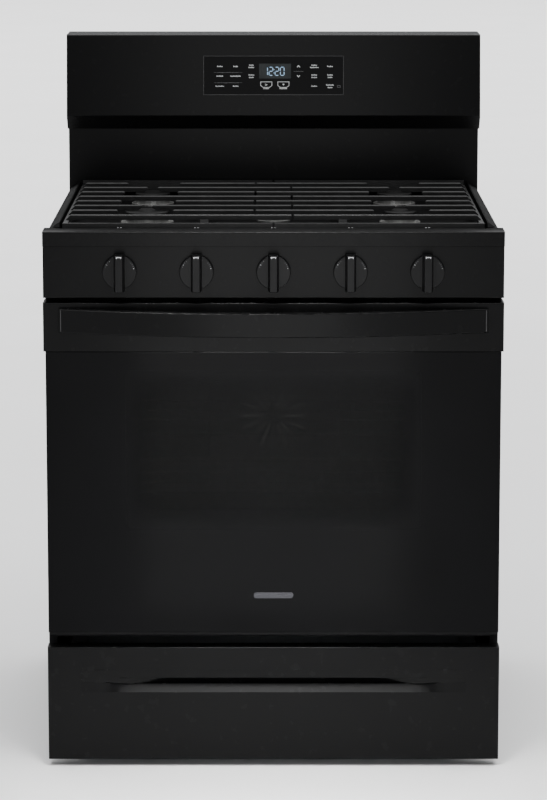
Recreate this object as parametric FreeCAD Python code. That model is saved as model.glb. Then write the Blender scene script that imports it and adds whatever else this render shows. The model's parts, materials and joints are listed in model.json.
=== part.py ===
"""Freestanding five-burner gas range with a rear console, a drop-down oven door and a storage drawer.

Frame: millimetres, +X to the viewer's right, +Y to the back, +Z up. The origin is on the floor, in the middle
of the overall width and depth. Each function makes one node, which is written to parts/NODE.step.
"""
import FreeCAD, Part

import math
import os

V = FreeCAD.Vector

# ---- driving dimensions ------------------------------------------------------------------------------------
WIDTH = 759.0            # door, drawer and control panel
DEPTH = 733.0            # rear of the backguard to the front of the door handle
HEIGHT = 1188.0          # top of the backguard
HANDLE_REACH = 58.0      # handle's front ahead of the door's face
LIP_Z = 908.0            # top of the cooktop's front lip and rim
BODY_WIDTH = 758.0       # side panels
DECK_HALF = 373.0        # half the cooktop's width at its top, behind the front lip
DOOR_DEPTH = 50.0        # door's face to the body's front frame
SHEET = 1.2              # painted sheet steel
ENAMEL = 1.5             # enamelled oven and cooktop steel

FRONT = -DEPTH / 2 + HANDLE_REACH        # face of the door, drawer and control panel
REAR = DEPTH / 2
HALF = WIDTH / 2
SIDE = BODY_WIDTH / 2
FRAME_Y = FRONT + DOOR_DEPTH             # front face of the body's frame
GAP = 0.4                                # clearance between neighbouring pieces

LIP_DROP = 24.0                          # height of the cooktop's front lip
PANEL_BOTTOM = 798.0                     # control panel's lower edge
DOOR_TOP, DOOR_BOTTOM = 790.0, 224.0
BAND_BOTTOM = 709.0                      # lower edge of the door's painted band
GLASS_BOTTOM = 232.0
DRAWER_TOP, DRAWER_BOTTOM = 206.0, 12.0

KNOB_PITCH = 126.3
KNOB_Z = 842.0
KNOB_XS = [KNOB_PITCH * i for i in (-2, -1, 0, 1, 2)]
KNOB_NAMES = ["left_front", "left_rear", "centre", "right_rear", "right_front"]
KNOB_TRAVEL = 3.0

CAVITY_X = 303.0                         # half the oven's inner width
CAVITY_Z0, CAVITY_Z1 = 252.0, 731.0
CAVITY_Y0, CAVITY_Y1 = FRAME_Y + 2.0, 218.0
OVEN_FLOOR_Z = 288.0
RACK_LEVELS = [378.0, 444.5, 511.0, 577.5, 644.0]
RACKS = {"lower_rack": RACK_LEVELS[0], "upper_rack": RACK_LEVELS[2]}
LEDGE_DROP = 3.5                         # rack ledges below the racks' middle height

DECK_FLOOR_Z = 889.0                     # bottom of the cooktop's well
GRATE_TOP = 922.0
RISER_Y = 300.0                          # front face of the backguard's riser
BAR_FIRST, BAR_PITCH = -198.0, 61.9
GRATE_ROWS = [-247.0] + [BAR_FIRST + BAR_PITCH * i for i in range(8)] + [277.0]   # bars, front to back
BURNER_X = 217.0
BURNERS = {                              # name: (x, row under the burner's middle, head radius)
    "left_front": (-BURNER_X, 3, 37.0),
    "left_rear": (-BURNER_X, 7, 30.0),
    "right_rear": (BURNER_X, 7, 30.0),
    "right_front": (BURNER_X, 3, 27.0),
}
OVAL_BURNER = (0.0, (GRATE_ROWS[5] + GRATE_ROWS[4]) / 2, 22.0, 150.0)  # x, y, end radius, overall length

LEG_XS = (-355.0, 355.0)
LEG_YS = (FRAME_Y + 42.0, 312.0)
HINGE_XS = (-282.0, 282.0)
HINGE_Y, HINGE_Z = FRONT + 22.5, DOOR_BOTTOM + 8.0
PIN_R = 3.0
FAN_CENTRE = (0.0, 500.0)                # x, z
SHAFT_R = 4.0
STEM_R = 3.0
RUN_FIT = 0.05                           # radial clearance of a running fit

PARTS = {}


# ---- helpers -----------------------------------------------------------------------------------------------
def box(x0, x1, y0, y1, z0, z1):
    return Part.makeBox(x1 - x0, y1 - y0, z1 - z0, V(x0, y0, z0))


def rod(r, start, end):
    """A round bar from one point to another."""
    a, b = V(*start), V(*end)
    return Part.makeCylinder(r, (b - a).Length, a, b - a)


def ring(r_out, r_in, start, end):
    return rod(r_out, start, end).cut(rod(r_in, start, end))


def prism(points, along):
    """A closed outline of 3-D points, extruded."""
    wire = Part.makePolygon([V(*p) for p in points] + [V(*points[0])])
    return Part.Face(wire).extrude(V(*along))


def rounded_box(x0, x1, y0, y1, z0, z1, r, axis):
    """A box whose four edges along one axis are rounded."""
    solid = box(x0, x1, y0, y1, z0, z1)
    return solid.makeFillet(r, edges_along(solid, axis))


def edges_along(solid, axis):
    """Straight edges that run along 'x', 'y' or 'z'."""
    found = []
    for edge in solid.Edges:
        if edge.Curve.TypeId != "Part::GeomLine":
            continue
        d = edge.tangentAt(edge.FirstParameter)
        if abs(getattr(d, axis)) > 0.999:
            found.append(edge)
    return found


def edges_at(solid, **where):
    """Edges whose bounding box lies at the given x, y or z, such as edges_at(s, y=-3)."""
    found = []
    for edge in solid.Edges:
        b = edge.BoundBox
        spans = {"x": (b.XMin, b.XMax), "y": (b.YMin, b.YMax), "z": (b.ZMin, b.ZMax)}
        if all(abs(spans[k][0] - v) < 0.01 and abs(spans[k][1] - v) < 0.01 for k, v in where.items()):
            found.append(edge)
    return found


def fuse(shapes):
    whole = shapes[0].multiFuse(shapes[1:]) if len(shapes) > 1 else shapes[0]
    return whole.removeSplitter()


def cut(shape, tools):
    return shape.cut(Part.makeCompound(tools)).removeSplitter()


def mirror_x(shape):
    return shape.mirror(V(0, 0, 0), V(1, 0, 0))


def both_sides(shape):
    return [shape, mirror_x(shape)]


def rounded_wire(x0, x1, y0, y1, r, z):
    """A rectangle with round corners, lying level at height z."""
    pts = [(x0 + r, y0), (x1 - r, y0), (x1, y0 + r), (x1, y1 - r), (x1 - r, y1), (x0 + r, y1), (x0, y1 - r),
           (x0, y0 + r)]
    mids = [(x1 - r, y0 + r, -45), (x1 - r, y1 - r, 45), (x0 + r, y1 - r, 135), (x0 + r, y0 + r, 225)]
    edges = []
    for i in range(4):
        a, b, c = pts[2 * i], pts[2 * i + 1], pts[(2 * i + 2) % 8]
        cx, cy, turn = mids[i]
        m = (cx + r * math.cos(math.radians(turn)), cy + r * math.sin(math.radians(turn)))
        edges.append(Part.makeLine(V(*a, z), V(*b, z)))
        edges.append(Part.Arc(V(*b, z), V(*m, z), V(*c, z)).toShape())
    return Part.Wire(edges)


def tapered(bottom, top):
    """A solid between two level round-cornered rectangles, each (x0, x1, y0, y1, r, z)."""
    return Part.makeLoft([rounded_wire(*bottom), rounded_wire(*top)], True, True)


def pipe(points, r):
    """A bent tube: straight runs with ball corners."""
    runs = [rod(r, a, b) for a, b in zip(points, points[1:])]
    return fuse(runs + [Part.makeSphere(r, V(*p)) for p in points[1:-1]])


def slots(xs, y0, y1, z, size_x, size_z):
    """A row of through slots along X, cut along Y."""
    return [box(x - size_x / 2, x + size_x / 2, y0, y1, z - size_z / 2, z + size_z / 2) for x in xs]


def spaced(first, last, count):
    return [first + (last - first) * i / (count - 1) for i in range(count)]


def keep(name, shape):
    """Files a node under its name: one solid or several separate ones."""
    solids = shape if isinstance(shape, list) else [shape]
    flat = [s for part in solids for s in part.Solids]
    PARTS[name] = flat[0] if len(flat) == 1 else Part.makeCompound(flat)


# ---- body: legs, base, panels and frame --------------------------------------------------------------------
BASE_Z0, BASE_Z1 = 30.0, 52.0            # base frame rails
SIDE_Z1 = LIP_Z - LIP_DROP               # side panels end under the cooktop's rim
REAR_PANEL_Y = 344.0
SHELF_Z = 764.0                          # top of the oven's insulation, floor of the burner compartment
GLIDE_X = 352.0                          # outer face of the drawer's glides


def leveling_legs():
    legs = []
    for x in LEG_XS:
        for y in LEG_YS:
            foot = rod(17.0, (x, y, 0), (x, y, 9)).fuse(rod(12.0, (x, y, 9), (x, y, 15)))
            legs.append(fuse([foot, rod(5.0, (x, y, 15), (x, y, 58))]))
    keep("leveling_legs", legs)


def base_frame():
    x1, y0, y1 = SIDE - SHEET - GAP, FRAME_Y + 4.0, REAR_PANEL_Y - GAP
    pieces = []
    for s in (-1, 1):
        a, b = sorted((s * x1, s * (x1 - 36.0)))
        pieces.append(box(a, b, y0, y1, BASE_Z0, BASE_Z0 + 2.0))
        edge = sorted((s * x1, s * (x1 - 2.0)))
        pieces.append(box(edge[0], edge[1], y0, y1, BASE_Z0, BASE_Z1 + 20.0))
    pieces.append(box(-x1, x1, y1 - 30.0, y1, BASE_Z0, BASE_Z0 + 2.0))
    pieces.append(box(-x1, x1, y1 - 2.0, y1, BASE_Z0, BASE_Z1 + 20.0))
    frame = fuse(pieces)
    holes = [rod(5.0 + RUN_FIT, (x, y, BASE_Z0 - 5), (x, y, BASE_Z0 + 5)) for x in LEG_XS for y in LEG_YS]
    keep("base_frame", cut(frame, holes))


def side_panels():
    y0, y1 = FRAME_Y + SHEET, REAR - 6.0
    outer = box(-SIDE, -SIDE + SHEET, y0, y1, 26.0, SIDE_Z1)
    front_lip = box(-SIDE, -SIDE + 14.0, y0, y0 + SHEET, 26.0, SIDE_Z1)
    rear_lip = box(-SIDE, -SIDE + 12.0, y1 - SHEET, y1, 26.0, SIDE_Z1)
    left = fuse([outer, front_lip, rear_lip])
    keep("side_panel_left", left)
    keep("side_panel_right", mirror_x(left))


def rear_panel():
    x1 = SIDE - SHEET - GAP
    panel = box(-x1, x1, REAR_PANEL_Y, REAR_PANEL_Y + SHEET, 34.0, SIDE_Z1 - GAP)
    louvres = []
    for row in range(4):
        louvres += slots(spaced(-220.0, 220.0, 8), REAR_PANEL_Y - 5, REAR_PANEL_Y + 5, 820.0 - 14.0 * row,
                         42.0, 4.0)
    for row in range(5):
        louvres += slots(spaced(-90.0, 90.0, 3), REAR_PANEL_Y - 5, REAR_PANEL_Y + 5, 540.0 - 16.0 * row, 48.0,
                         4.0)
    gas_hole = rod(22.0, (GAS_X, REAR_PANEL_Y - 5, GAS_Z), (GAS_X, REAR_PANEL_Y + 5, GAS_Z))
    cord_hole = rod(11.0, (-300, REAR_PANEL_Y - 5, 740), (-300, REAR_PANEL_Y + 5, 740))
    keep("rear_panel", cut(panel, louvres + [gas_hole, cord_hole]))


def front_frame():
    x1 = SIDE - GAP
    z0, z1 = DRAWER_TOP + 8.0, PANEL_BOTTOM + 2.0
    plate = box(-x1, x1, FRAME_Y, FRAME_Y + SHEET, z0, z1)
    opening = rounded_box(-CAVITY_X, CAVITY_X, FRAME_Y - 5, FRAME_Y + 5, OVEN_FLOOR_Z + ENAMEL, CAVITY_Z1,
                          12.0, "y")
    vents = slots(spaced(-270.0, 270.0, 10), FRAME_Y - 5, FRAME_Y + 5, (DOOR_TOP + PANEL_BOTTOM) / 2, 38.0,
                  5.0)
    hinge_slots = [box(x - 5, x + 5, FRAME_Y - 5, FRAME_Y + 5, 223.0, 244.0) for x in HINGE_XS]
    keep("front_frame", cut(plate, [opening] + vents + hinge_slots))


def hinge_arms():
    """Hooked arms held in channels behind the front frame; the door turns on pins through their front ends."""
    made = []
    for x in HINGE_XS:
        shell = box(x - 7, x + 7, FRAME_Y + SHEET, FRAME_Y + 110, 221.0, 247.0)
        hollow = box(x - 5.5, x + 5.5, FRAME_Y, FRAME_Y + 108.5, 222.5, 245.5)
        bar = box(x - 2, x + 2, HINGE_Y, FRAME_Y + 104, HINGE_Z - 5.5, HINGE_Z + 5.5)
        eye = rod(5.5, (x - 2, HINGE_Y, HINGE_Z), (x + 2, HINGE_Y, HINGE_Z))
        hook = box(x - 2, x + 2, FRAME_Y + 40, FRAME_Y + 46, HINGE_Z - 9, HINGE_Z - 5)
        rivet = rod(2.5, (x - 6, FRAME_Y + 96, HINGE_Z), (x + 6, FRAME_Y + 96, HINGE_Z))
        bore = rod(PIN_R + RUN_FIT, (x - 3, HINGE_Y, HINGE_Z), (x + 3, HINGE_Y, HINGE_Z))
        made.append(cut(fuse([shell.cut(hollow), bar, eye, hook, rivet]), [bore]))
    keep("hinge_arms", made)


# ---- oven cavity -------------------------------------------------------------------------------------------
def oven_cavity():
    x1 = CAVITY_X + ENAMEL
    outer = rounded_box(-x1, x1, CAVITY_Y0, CAVITY_Y1 + ENAMEL, CAVITY_Z0 - ENAMEL, CAVITY_Z1 + ENAMEL, 13.5,
                        "y")
    inner = rounded_box(-CAVITY_X, CAVITY_X, CAVITY_Y0 - 5, CAVITY_Y1, CAVITY_Z0, CAVITY_Z1, 12.0, "y")
    shell = outer.cut(inner)
    flange_out = rounded_box(-x1 - 18, x1 + 18, CAVITY_Y0 - 0.6, CAVITY_Y0 + 0.9, CAVITY_Z0 - 1.0,
                             CAVITY_Z1 + 19, 20.0, "y")
    flange = flange_out.cut(inner)
    ledges = []
    for z in RACK_LEVELS:
        section = [(-CAVITY_X - 0.5, z - 10.0), (-CAVITY_X + 9.0, z - 5.0), (-CAVITY_X + 9.0, z - LEDGE_DROP),
                   (-CAVITY_X - 0.5, z - LEDGE_DROP)]
        rib = prism([(x, CAVITY_Y0 + 24.0, zz) for x, zz in section], (0, 424.0, 0))
        ledges += both_sides(rib)
    body = fuse([shell, flange] + ledges)
    fx, fz = FAN_CENTRE
    holes = [
        rod(7.0, (fx, CAVITY_Y1 - 5, fz), (fx, CAVITY_Y1 + 5, fz)),
        rod(14.5, (0, CAVITY_Y1 - 5, 270), (0, CAVITY_Y1 + 5, 270)),
        rod(10.5, (0, CAVITY_Y1 - 5, 706), (0, CAVITY_Y1 + 5, 706)),
        rod(22.0, (-235, CAVITY_Y1 - 5, 668), (-235, CAVITY_Y1 + 5, 668)),
    ]
    vent = slots(spaced(150.0, 250.0, 4), CAVITY_Y1 - 5, CAVITY_Y1 + 5, 700.0, 18.0, 5.0)
    keep("oven_cavity", cut(body, holes + vent))


def oven_insulation():
    x_in = CAVITY_X + ENAMEL + GAP
    y0 = CAVITY_Y0 + 1.4
    outer = box(-x_in - 29, x_in + 29, y0, CAVITY_Y1 + 30, CAVITY_Z0 - 2.0, SHELF_Z - GAP)
    hollow = box(-x_in, x_in, y0 - 5, CAVITY_Y1 + ENAMEL + GAP, 200.0, CAVITY_Z1 + ENAMEL + GAP)
    fx, fz = FAN_CENTRE
    holes = [
        rod(42.0, (fx, 200, fz), (fx, 300, fz)),
        rod(16.5, (0, 200, 270), (0, 300, 270)),
        rod(13.0, (0, 200, 706), (0, 300, 706)),
        rod(24.0, (-235, 200, 668), (-235, 300, 668)),
    ]
    keep("oven_insulation", cut(outer, [hollow] + holes))


def oven_floor():
    """Removable oven bottom over the bake burner, with heat slots along its sides."""
    x1 = CAVITY_X - 1.5
    plate = rounded_box(-x1, x1, CAVITY_Y0 + 2, CAVITY_Y1 - 1, OVEN_FLOOR_Z, OVEN_FLOOR_Z + ENAMEL, 8.0, "z")
    tools = []
    for s in (-1, 1):
        for y in spaced(-190.0, 150.0, 6):
            tools.append(rounded_box(s * 270 - 5, s * 270 + 5, y - 24, y + 24, 280, 300, 4.5, "z"))
    lugs = [box(s * 260 - 12, s * 260 + 12, CAVITY_Y1 - 60, CAVITY_Y1 - 30, OVEN_FLOOR_Z + ENAMEL,
                OVEN_FLOOR_Z + 4) for s in (-1, 1)]
    keep("oven_floor", fuse([cut(plate, tools)] + lugs))


def bake_burner():
    y0, y1 = -205.0, CAVITY_Y1 + 40
    tube = ring(14.0, 12.0, (0, y0, 270), (0, y1, 270))
    cap = rod(14.0, (0, y0, 270), (0, y0 + 2, 270))
    feet = [box(-40, 40, y, y + 12, CAVITY_Z0, CAVITY_Z0 + 3) for y in (-180.0, 150.0)]
    feet += [box(-6, 6, y, y + 12, CAVITY_Z0 + 2, 257.5) for y in (-180.0, 150.0)]
    arm = box(12, 26, 96, 104, 266, 268)
    keep("bake_burner", fuse([tube, cap, arm, igniter(263.0)] + feet))


def broil_burner():
    y1 = CAVITY_Y1 + 40
    tube = ring(10.0, 8.5, (0, -190, 706), (0, y1, 706)).fuse(rod(10.0, (0, -190, 706), (0, -188, 706)))
    screen = box(-115, 115, -180, 150, 690.0, 691.5)
    walls = [box(-115, -113.5, -180, 150, 691.5, 712), box(113.5, 115, -180, 150, 691.5, 712)]
    hangers = [box(-115 if s < 0 else 60, -60 if s < 0 else 115, y, y + 14, 712.0, 713.5)
               for s in (-1, 1) for y in (-150.0, 120.0)]
    straps = [box(s * 88 - 4, s * 88 + 4, y, y + 14, 713.5, CAVITY_Z1)
              for s in (-1, 1) for y in (-150.0, 120.0)]
    webs = [box(-3, 3, y, y + 6, 691.5, 697.0) for y in (-150.0, 0.0, 130.0)]
    slits = [box(x - 2, x + 2, -160, 130, 685, 695) for x in spaced(-96.0, 96.0, 9) if abs(x) > 5]
    arm = box(8, 26, 96, 104, 702, 704)
    pieces = [cut(screen, slits), tube, arm, igniter(698.0)]
    keep("broil_burner", fuse(pieces + walls + hangers + straps + webs))


def igniter(z):
    """Hot-surface igniter on its ceramic block, beside a burner tube."""
    block = box(24, 44, 90, 110, z, z + 14)
    return block.fuse(box(29, 39, 40, 90, z + 5, z + 9))


def oven_lamp():
    """Lamp holder through the rear wall, with its glass dome inside the oven."""
    x, z = -235.0, 668.0
    holder = rod(20.0, (x, CAVITY_Y1 - 3, z), (x, CAVITY_Y1 + 52, z))
    flange = rod(30.0, (x, CAVITY_Y1 - 4, z), (x, CAVITY_Y1 - 0.2, z))
    dome = rod(26.0, (x, CAVITY_Y1 - 22, z), (x, CAVITY_Y1 - 4, z))
    dome = dome.makeFillet(12.0, edges_at(dome, y=CAVITY_Y1 - 22))
    keep("oven_lamp", fuse([holder, flange, dome]))


def fan_motor():
    fx, fz = FAN_CENTRE
    y0, y1 = CAVITY_Y1 + 34, CAVITY_Y1 + 92
    can = rod(36.0, (fx, y0, fz), (fx, y1, fz))
    bore = rod(SHAFT_R + RUN_FIT, (fx, y0 - 1, fz), (fx, y0 + 24, fz))
    ears = box(fx - 70, fx + 70, y0 - 2, y0, fz - 12, fz + 12)
    legs = [box(fx + s * 70 - 6, fx + s * 70 + 6, CAVITY_Y1 + 30.5, y0 - 2, fz - 12, fz + 12)
            for s in (-1, 1)]
    hole = rod(SHAFT_R + 2, (fx, y0 - 4, fz), (fx, y0, fz))
    keep("fan_motor", cut(fuse([can, ears] + legs), [hole, bore]))


def convection_fan():
    fx, fz = FAN_CENTRE
    y_blade = CAVITY_Y1 - 24
    hub = rod(12.0, (fx, y_blade, fz), (fx, y_blade + 18, fz))
    shaft = rod(SHAFT_R, (fx, y_blade + 18, fz), (fx, CAVITY_Y1 + 34 + 22, fz))
    disc = rod(66.0, (fx, y_blade + 14, fz), (fx, y_blade + 15.2, fz))
    blades = []
    for i in range(10):
        blade = box(fx + 34, fx + 70, y_blade, y_blade + 15.2, fz - 0.8, fz + 0.8)
        blade.rotate(V(fx + 50, 0, fz), V(0, 1, 0), 25)
        blade.rotate(V(fx, 0, fz), V(0, 1, 0), 36.0 * i)
        blades.append(blade)
    keep("convection_fan", fuse([hub, shaft, disc] + blades))


def fan_cover():
    fx, fz = FAN_CENTRE
    y0, y1 = CAVITY_Y1 - 32, CAVITY_Y1 - 0.2
    outer = rounded_box(fx - 120, fx + 120, y0, y1, fz - 100, fz + 100, 24.0, "y")
    outer = outer.makeFillet(6.0, edges_at(outer, y=y0))
    inner = rounded_box(fx - 118.5, fx + 118.5, y0 + 1.5, y1 + 1, fz - 98.5, fz + 98.5, 22.5, "y")
    tools = [inner.makeFillet(4.5, edges_at(inner, y=y0 + 1.5))]
    for i in range(16):
        slot = box(fx + 18, fx + 62, y0 - 5, y0 + 5, fz - 2.5, fz + 2.5)
        slot.rotate(V(fx, 0, fz), V(0, 1, 0), 22.5 * i)
        tools.append(slot)
    for s in (-1, 1):
        tools += [box(fx + s * 119 - 4, fx + s * 119 + 4, y0 + 10, y1 - 6, z - 3, z + 3)
                  for z in spaced(fz - 66, fz + 66, 7)]
    keep("fan_cover", cut(outer, tools))


def door_gasket():
    """Woven seal on the front frame, round the oven opening."""
    y0, y1 = FRAME_Y - 3.4, FRAME_Y
    x1, z0, z1 = CAVITY_X + 17, 248.0, CAVITY_Z1 + 17
    outer = rounded_box(-x1, x1, y0, y1, z0, z1, 26.0, "y")
    inner = rounded_box(-x1 + 9, x1 - 9, y0 - 1, y1 + 1, z0 + 9, z1 - 9, 17.0, "y")
    keep("door_gasket", cut(outer, [inner]))


def oven_rack(name, z):
    """Wire rack: a heavy frame, cross rods and thin rods from front to back."""
    r_frame, r_rod, r_wire = 3.1, 2.4, 1.6
    x1, y0, y1 = 296.5, -234.0, 176.0
    corners = [(-x1, y0, z), (x1, y0, z), (x1, y1, z), (-x1, y1, z), (-x1, y0, z)]
    bars = [rod(r_frame, a, b) for a, b in zip(corners, corners[1:])]
    bars += [Part.makeSphere(r_frame, V(*c)) for c in corners[:4]]
    for y in (-30.0, 100.0):
        bars.append(rod(r_rod, (-x1, y, z - 0.6), (x1, y, z - 0.6)))
    for x in spaced(-266.0, 266.0, 19):
        bars.append(rod(r_wire, (x, y0, z + 2.4), (x, y1 + 4, z + 2.4)))
        bars.append(rod(r_wire, (x, y1 + 4, z + 2.4), (x, y1 + 4, z + 16)))
        bars.append(Part.makeSphere(r_wire, V(x, y1 + 4, z + 2.4)))
    bars.append(rod(r_rod, (-270, y1 + 4, z + 17), (270, y1 + 4, z + 17)))
    keep(name, fuse(bars))


# ---- oven door ---------------------------------------------------------------------------------------------
GLASS_T = 4.0
GLASS_HALF = 376.0
DOOR_BACK = FRAME_Y - 4.0                # rear face of the door's inner panel
WINDOW = (-225.0, 225.0, 425.0, 660.0)   # x0, x1, z0, z1 of the clear window
TUNNEL_REACH = 22.6                      # the window tunnel, this far outside the window
PLUG_Y = FRAME_Y + 6.0                   # the inner panel's raised middle reaches into the oven
HANDLE_Z0, HANDLE_Z1 = 741.5, 781.5
HANDLE_HALF = 353.0
HANDLE_THICK = 14.0


def hinge_notches():
    """Clearance at the door's lower edge for the two hinge arms."""
    return [box(x - 4.5, x + 4.5, HINGE_Y - 8, DOOR_BACK + 5, DOOR_BOTTOM - 5, HINGE_Z + 8) for x in HINGE_XS]


def door_glass():
    x1 = GLASS_HALF
    pane = box(-x1, x1, FRONT, FRONT + GLASS_T, GLASS_BOTTOM, BAND_BOTTOM - GAP)
    keep("door_glass", pane.makeChamfer(0.8, edges_at(pane, y=FRONT)))


def door_top_band():
    """Painted band across the top of the door: front face with top and end returns."""
    outer = box(-HALF, HALF, FRONT, DOOR_BACK - SHEET - GAP, BAND_BOTTOM, DOOR_TOP)
    soft = edges_at(outer, y=FRONT, x=-HALF) + edges_at(outer, y=FRONT, x=HALF)
    outer = outer.makeFillet(2.0, soft + edges_at(outer, y=FRONT, z=DOOR_TOP))
    hollow = box(-HALF + ENAMEL, HALF - ENAMEL, FRONT + ENAMEL, 0, BAND_BOTTOM - 5, DOOR_TOP - ENAMEL)
    vents = [box(x - 22, x + 22, FRONT + 24, FRONT + 28, DOOR_TOP - 5, DOOR_TOP + 5)
             for x in spaced(-270.0, 270.0, 9)]
    keep("door_top_band", cut(outer, [hollow] + vents))


def door_bottom_trim():
    y1 = DOOR_BACK - SHEET - GAP
    section = [(0, FRONT + 1.5, GLASS_BOTTOM - GAP), (0, FRONT + 1.5, DOOR_BOTTOM + 4),
               (0, FRONT + 5.5, DOOR_BOTTOM), (0, y1, DOOR_BOTTOM),
               (0, y1, DOOR_BOTTOM + 1.5), (0, FRONT + 6.2, DOOR_BOTTOM + 1.5),
               (0, FRONT + 3.0, DOOR_BOTTOM + 4.7), (0, FRONT + 3.0, GLASS_BOTTOM - GAP)]
    trim = prism([(-GLASS_HALF + 1, y, z) for _, y, z in section], (2 * GLASS_HALF - 2, 0, 0))
    vents = [box(x - 20, x + 20, FRONT + 22, FRONT + 26, DOOR_BOTTOM - 5, DOOR_BOTTOM + 5)
             for x in spaced(-220.0, 220.0, 9)]
    keep("door_bottom_trim", cut(trim, hinge_notches() + vents))


def door_frame():
    """Sheet frame between the outer glass and the inner panel, with a tunnel round the window."""
    x1, z0, z1 = GLASS_HALF - 1.0, DOOR_BOTTOM + 2.0, BAND_BOTTOM - GAP
    y0, y1 = FRONT + GLASS_T + GAP, DOOR_BACK - SHEET - GAP
    ring_out = box(-x1, x1, y0, y1, z0 + 7.0, z1)
    ring_in = box(-x1 + SHEET, x1 - SHEET, y0 - 1, y1 + 1, z0 + 7.0 + SHEET, z1 - SHEET)
    walls = ring_out.cut(ring_in)
    flanges = [box(s * (x1 - 10) - 10, s * (x1 - 10) + 10, y0, y0 + SHEET, z0 + 7.0, z1) for s in (-1, 1)]
    cross = [box(-x1, x1, y0, y0 + SHEET, z, z + 18) for z in (WINDOW[2] - 40, WINDOW[3] + 22)]
    wx0, wx1, wz0, wz1 = WINDOW
    reach = TUNNEL_REACH
    tunnel = box(wx0 - reach, wx1 + reach, y0, y1, wz0 - reach, wz1 + reach)
    reach -= SHEET
    tunnel = tunnel.cut(box(wx0 - reach, wx1 + reach, y0 - 1, y1 + 1, wz0 - reach, wz1 + reach))
    hinge_room = [box(x - 7.2, x + 7.2, HINGE_Y - 7.4, HINGE_Y + 7.4, z0, z0 + 20) for x in HINGE_XS]
    keep("door_frame", cut(fuse([walls, tunnel] + flanges + cross), hinge_notches() + hinge_room))


def door_inner_panel():
    x1 = GLASS_HALF - 2.0
    plate = rounded_box(-x1, x1, DOOR_BACK - SHEET, DOOR_BACK, DOOR_BOTTOM + 2, DOOR_TOP - 2, 8.0, "y")
    px, pz0, pz1 = 286.0, 304.0, 712.0
    plug_out = rounded_box(-px, px, DOOR_BACK - SHEET, PLUG_Y, pz0, pz1, 22.0, "y")
    plug_out = plug_out.makeFillet(4.0, edges_at(plug_out, y=PLUG_Y))
    plug_in = rounded_box(-px + SHEET, px - SHEET, DOOR_BACK - 5, PLUG_Y - SHEET, pz0 + SHEET, pz1 - SHEET,
                          20.8, "y")
    wx0, wx1, wz0, wz1 = WINDOW
    hole = rounded_box(wx0, wx1, DOOR_BACK - 9, PLUG_Y + 5, wz0, wz1, 10.0, "y")
    keep("door_inner_panel", cut(fuse([plate, plug_out]), [plug_in, hole] + hinge_notches()))


def door_inner_glass():
    """Two heat-barrier panes behind the window."""
    wx0, wx1, wz0, wz1 = WINDOW
    inner = box(wx0 - 16, wx1 + 16, PLUG_Y - SHEET - GAP - GLASS_T, PLUG_Y - SHEET - GAP, wz0 - 16, wz1 + 16)
    middle = box(wx0 - 20, wx1 + 20, FRONT + 20, FRONT + 20 + GLASS_T, wz0 - 18, wz1 + 18)
    keep("door_inner_glass", [inner, middle])


def door_insulation():
    """Glass-wool blanket round the window, between the frame and the inner panel."""
    wx0, wx1, wz0, wz1 = WINDOW
    y0, y1 = FRONT + 8.0, DOOR_BACK - SHEET - 1.0
    pad = box(-350, 350, y0, y1, 262.0, 700.0)
    hole = box(wx0 - 24, wx1 + 24, y0 - 1, y1 + 1, wz0 - 24, wz1 + 24)
    hinge_room = [box(x - 12, x + 12, y0 - 1, y1 + 1, 200, 345) for x in HINGE_XS]
    keep("door_insulation", cut(pad, [hole] + hinge_room))


def door_hinges():
    """Hinge bodies inside the door: two cheeks each, with the pin that the arm turns on."""
    bodies = []
    for x in HINGE_XS:
        cheeks = [box(x + s * 5.8 - 1, x + s * 5.8 + 1, HINGE_Y - 7, HINGE_Y + 7, HINGE_Z - 5.5, 336)
                  for s in (-1, 1)]
        web = box(x - 6.8, x + 6.8, HINGE_Y - 7, HINGE_Y - 5, HINGE_Z + 14, 336)
        top = box(x - 6.8, x + 6.8, HINGE_Y - 7, HINGE_Y + 7, 334, 336)
        pin = rod(PIN_R, (x - 6.8, HINGE_Y, HINGE_Z), (x + 6.8, HINGE_Y, HINGE_Z))
        spring = ring(4.2, 2.6, (x, HINGE_Y + 0.6, 262), (x, HINGE_Y + 0.6, 334))
        tab = box(x - 6.8, x + 6.8, HINGE_Y + 5, DOOR_BACK - SHEET, 292, 298)
        bodies.append(fuse(cheeks + [web, top, tab, pin, spring]))
    keep("door_hinges", bodies)


def door_handle():
    """Shallow arched bar, standing off the door in the middle and meeting it at both ends."""
    rise = HANDLE_REACH - 8.0
    radius = (HANDLE_HALF ** 2 + rise ** 2) / (2 * rise)
    cy = FRONT - HANDLE_REACH + radius
    band = ring(radius, radius - HANDLE_THICK, (0, cy, HANDLE_Z0), (0, cy, HANDLE_Z1))
    keep_box = box(-HANDLE_HALF, HANDLE_HALF, FRONT - HANDLE_REACH - 5, FRONT, HANDLE_Z0 - 1, HANDLE_Z1 + 1)
    bar = band.common(keep_box).Solids[0]
    edges = [e for e in bar.Edges if e.BoundBox.YMax < FRONT - 0.01]
    keep("door_handle", bar.makeFillet(2.0, edges))


def door_badge():
    """Plain oval nameplate with nothing written on it."""
    plate = rounded_box(-33, 33, FRONT - 1.2, FRONT, 291.0, 301.0, 4.9, "y")
    keep("door_badge", plate)


# ---- storage drawer ----------------------------------------------------------------------------------------
DRAWER_HALF = 378.0
SCOOP_Z0, SCOOP_Z1 = 128.5, 167.5        # the pull's lower and upper edge
SCOOP_END = 322.0                        # half the pull's length
PULL_WALL = (0.0, 80.0)                  # where, inward from an end, each depth starts and is full
PULL_RAMP = (24.0, 90.0)
PULL_POCKET = (60.0, 160.0)
PULL_STATIONS = (0.0, 8.0, 16.0, 24.0, 36.0, 48.0, 60.0, 75.0, 90.0, 110.0, 130.0, 145.0, 160.0)
TUB_HALF, TUB_Z0, TUB_Z1 = 345.0, 66.0, 190.0
TUB_Y0, TUB_Y1 = FRONT + 30.0, 290.0


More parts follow.
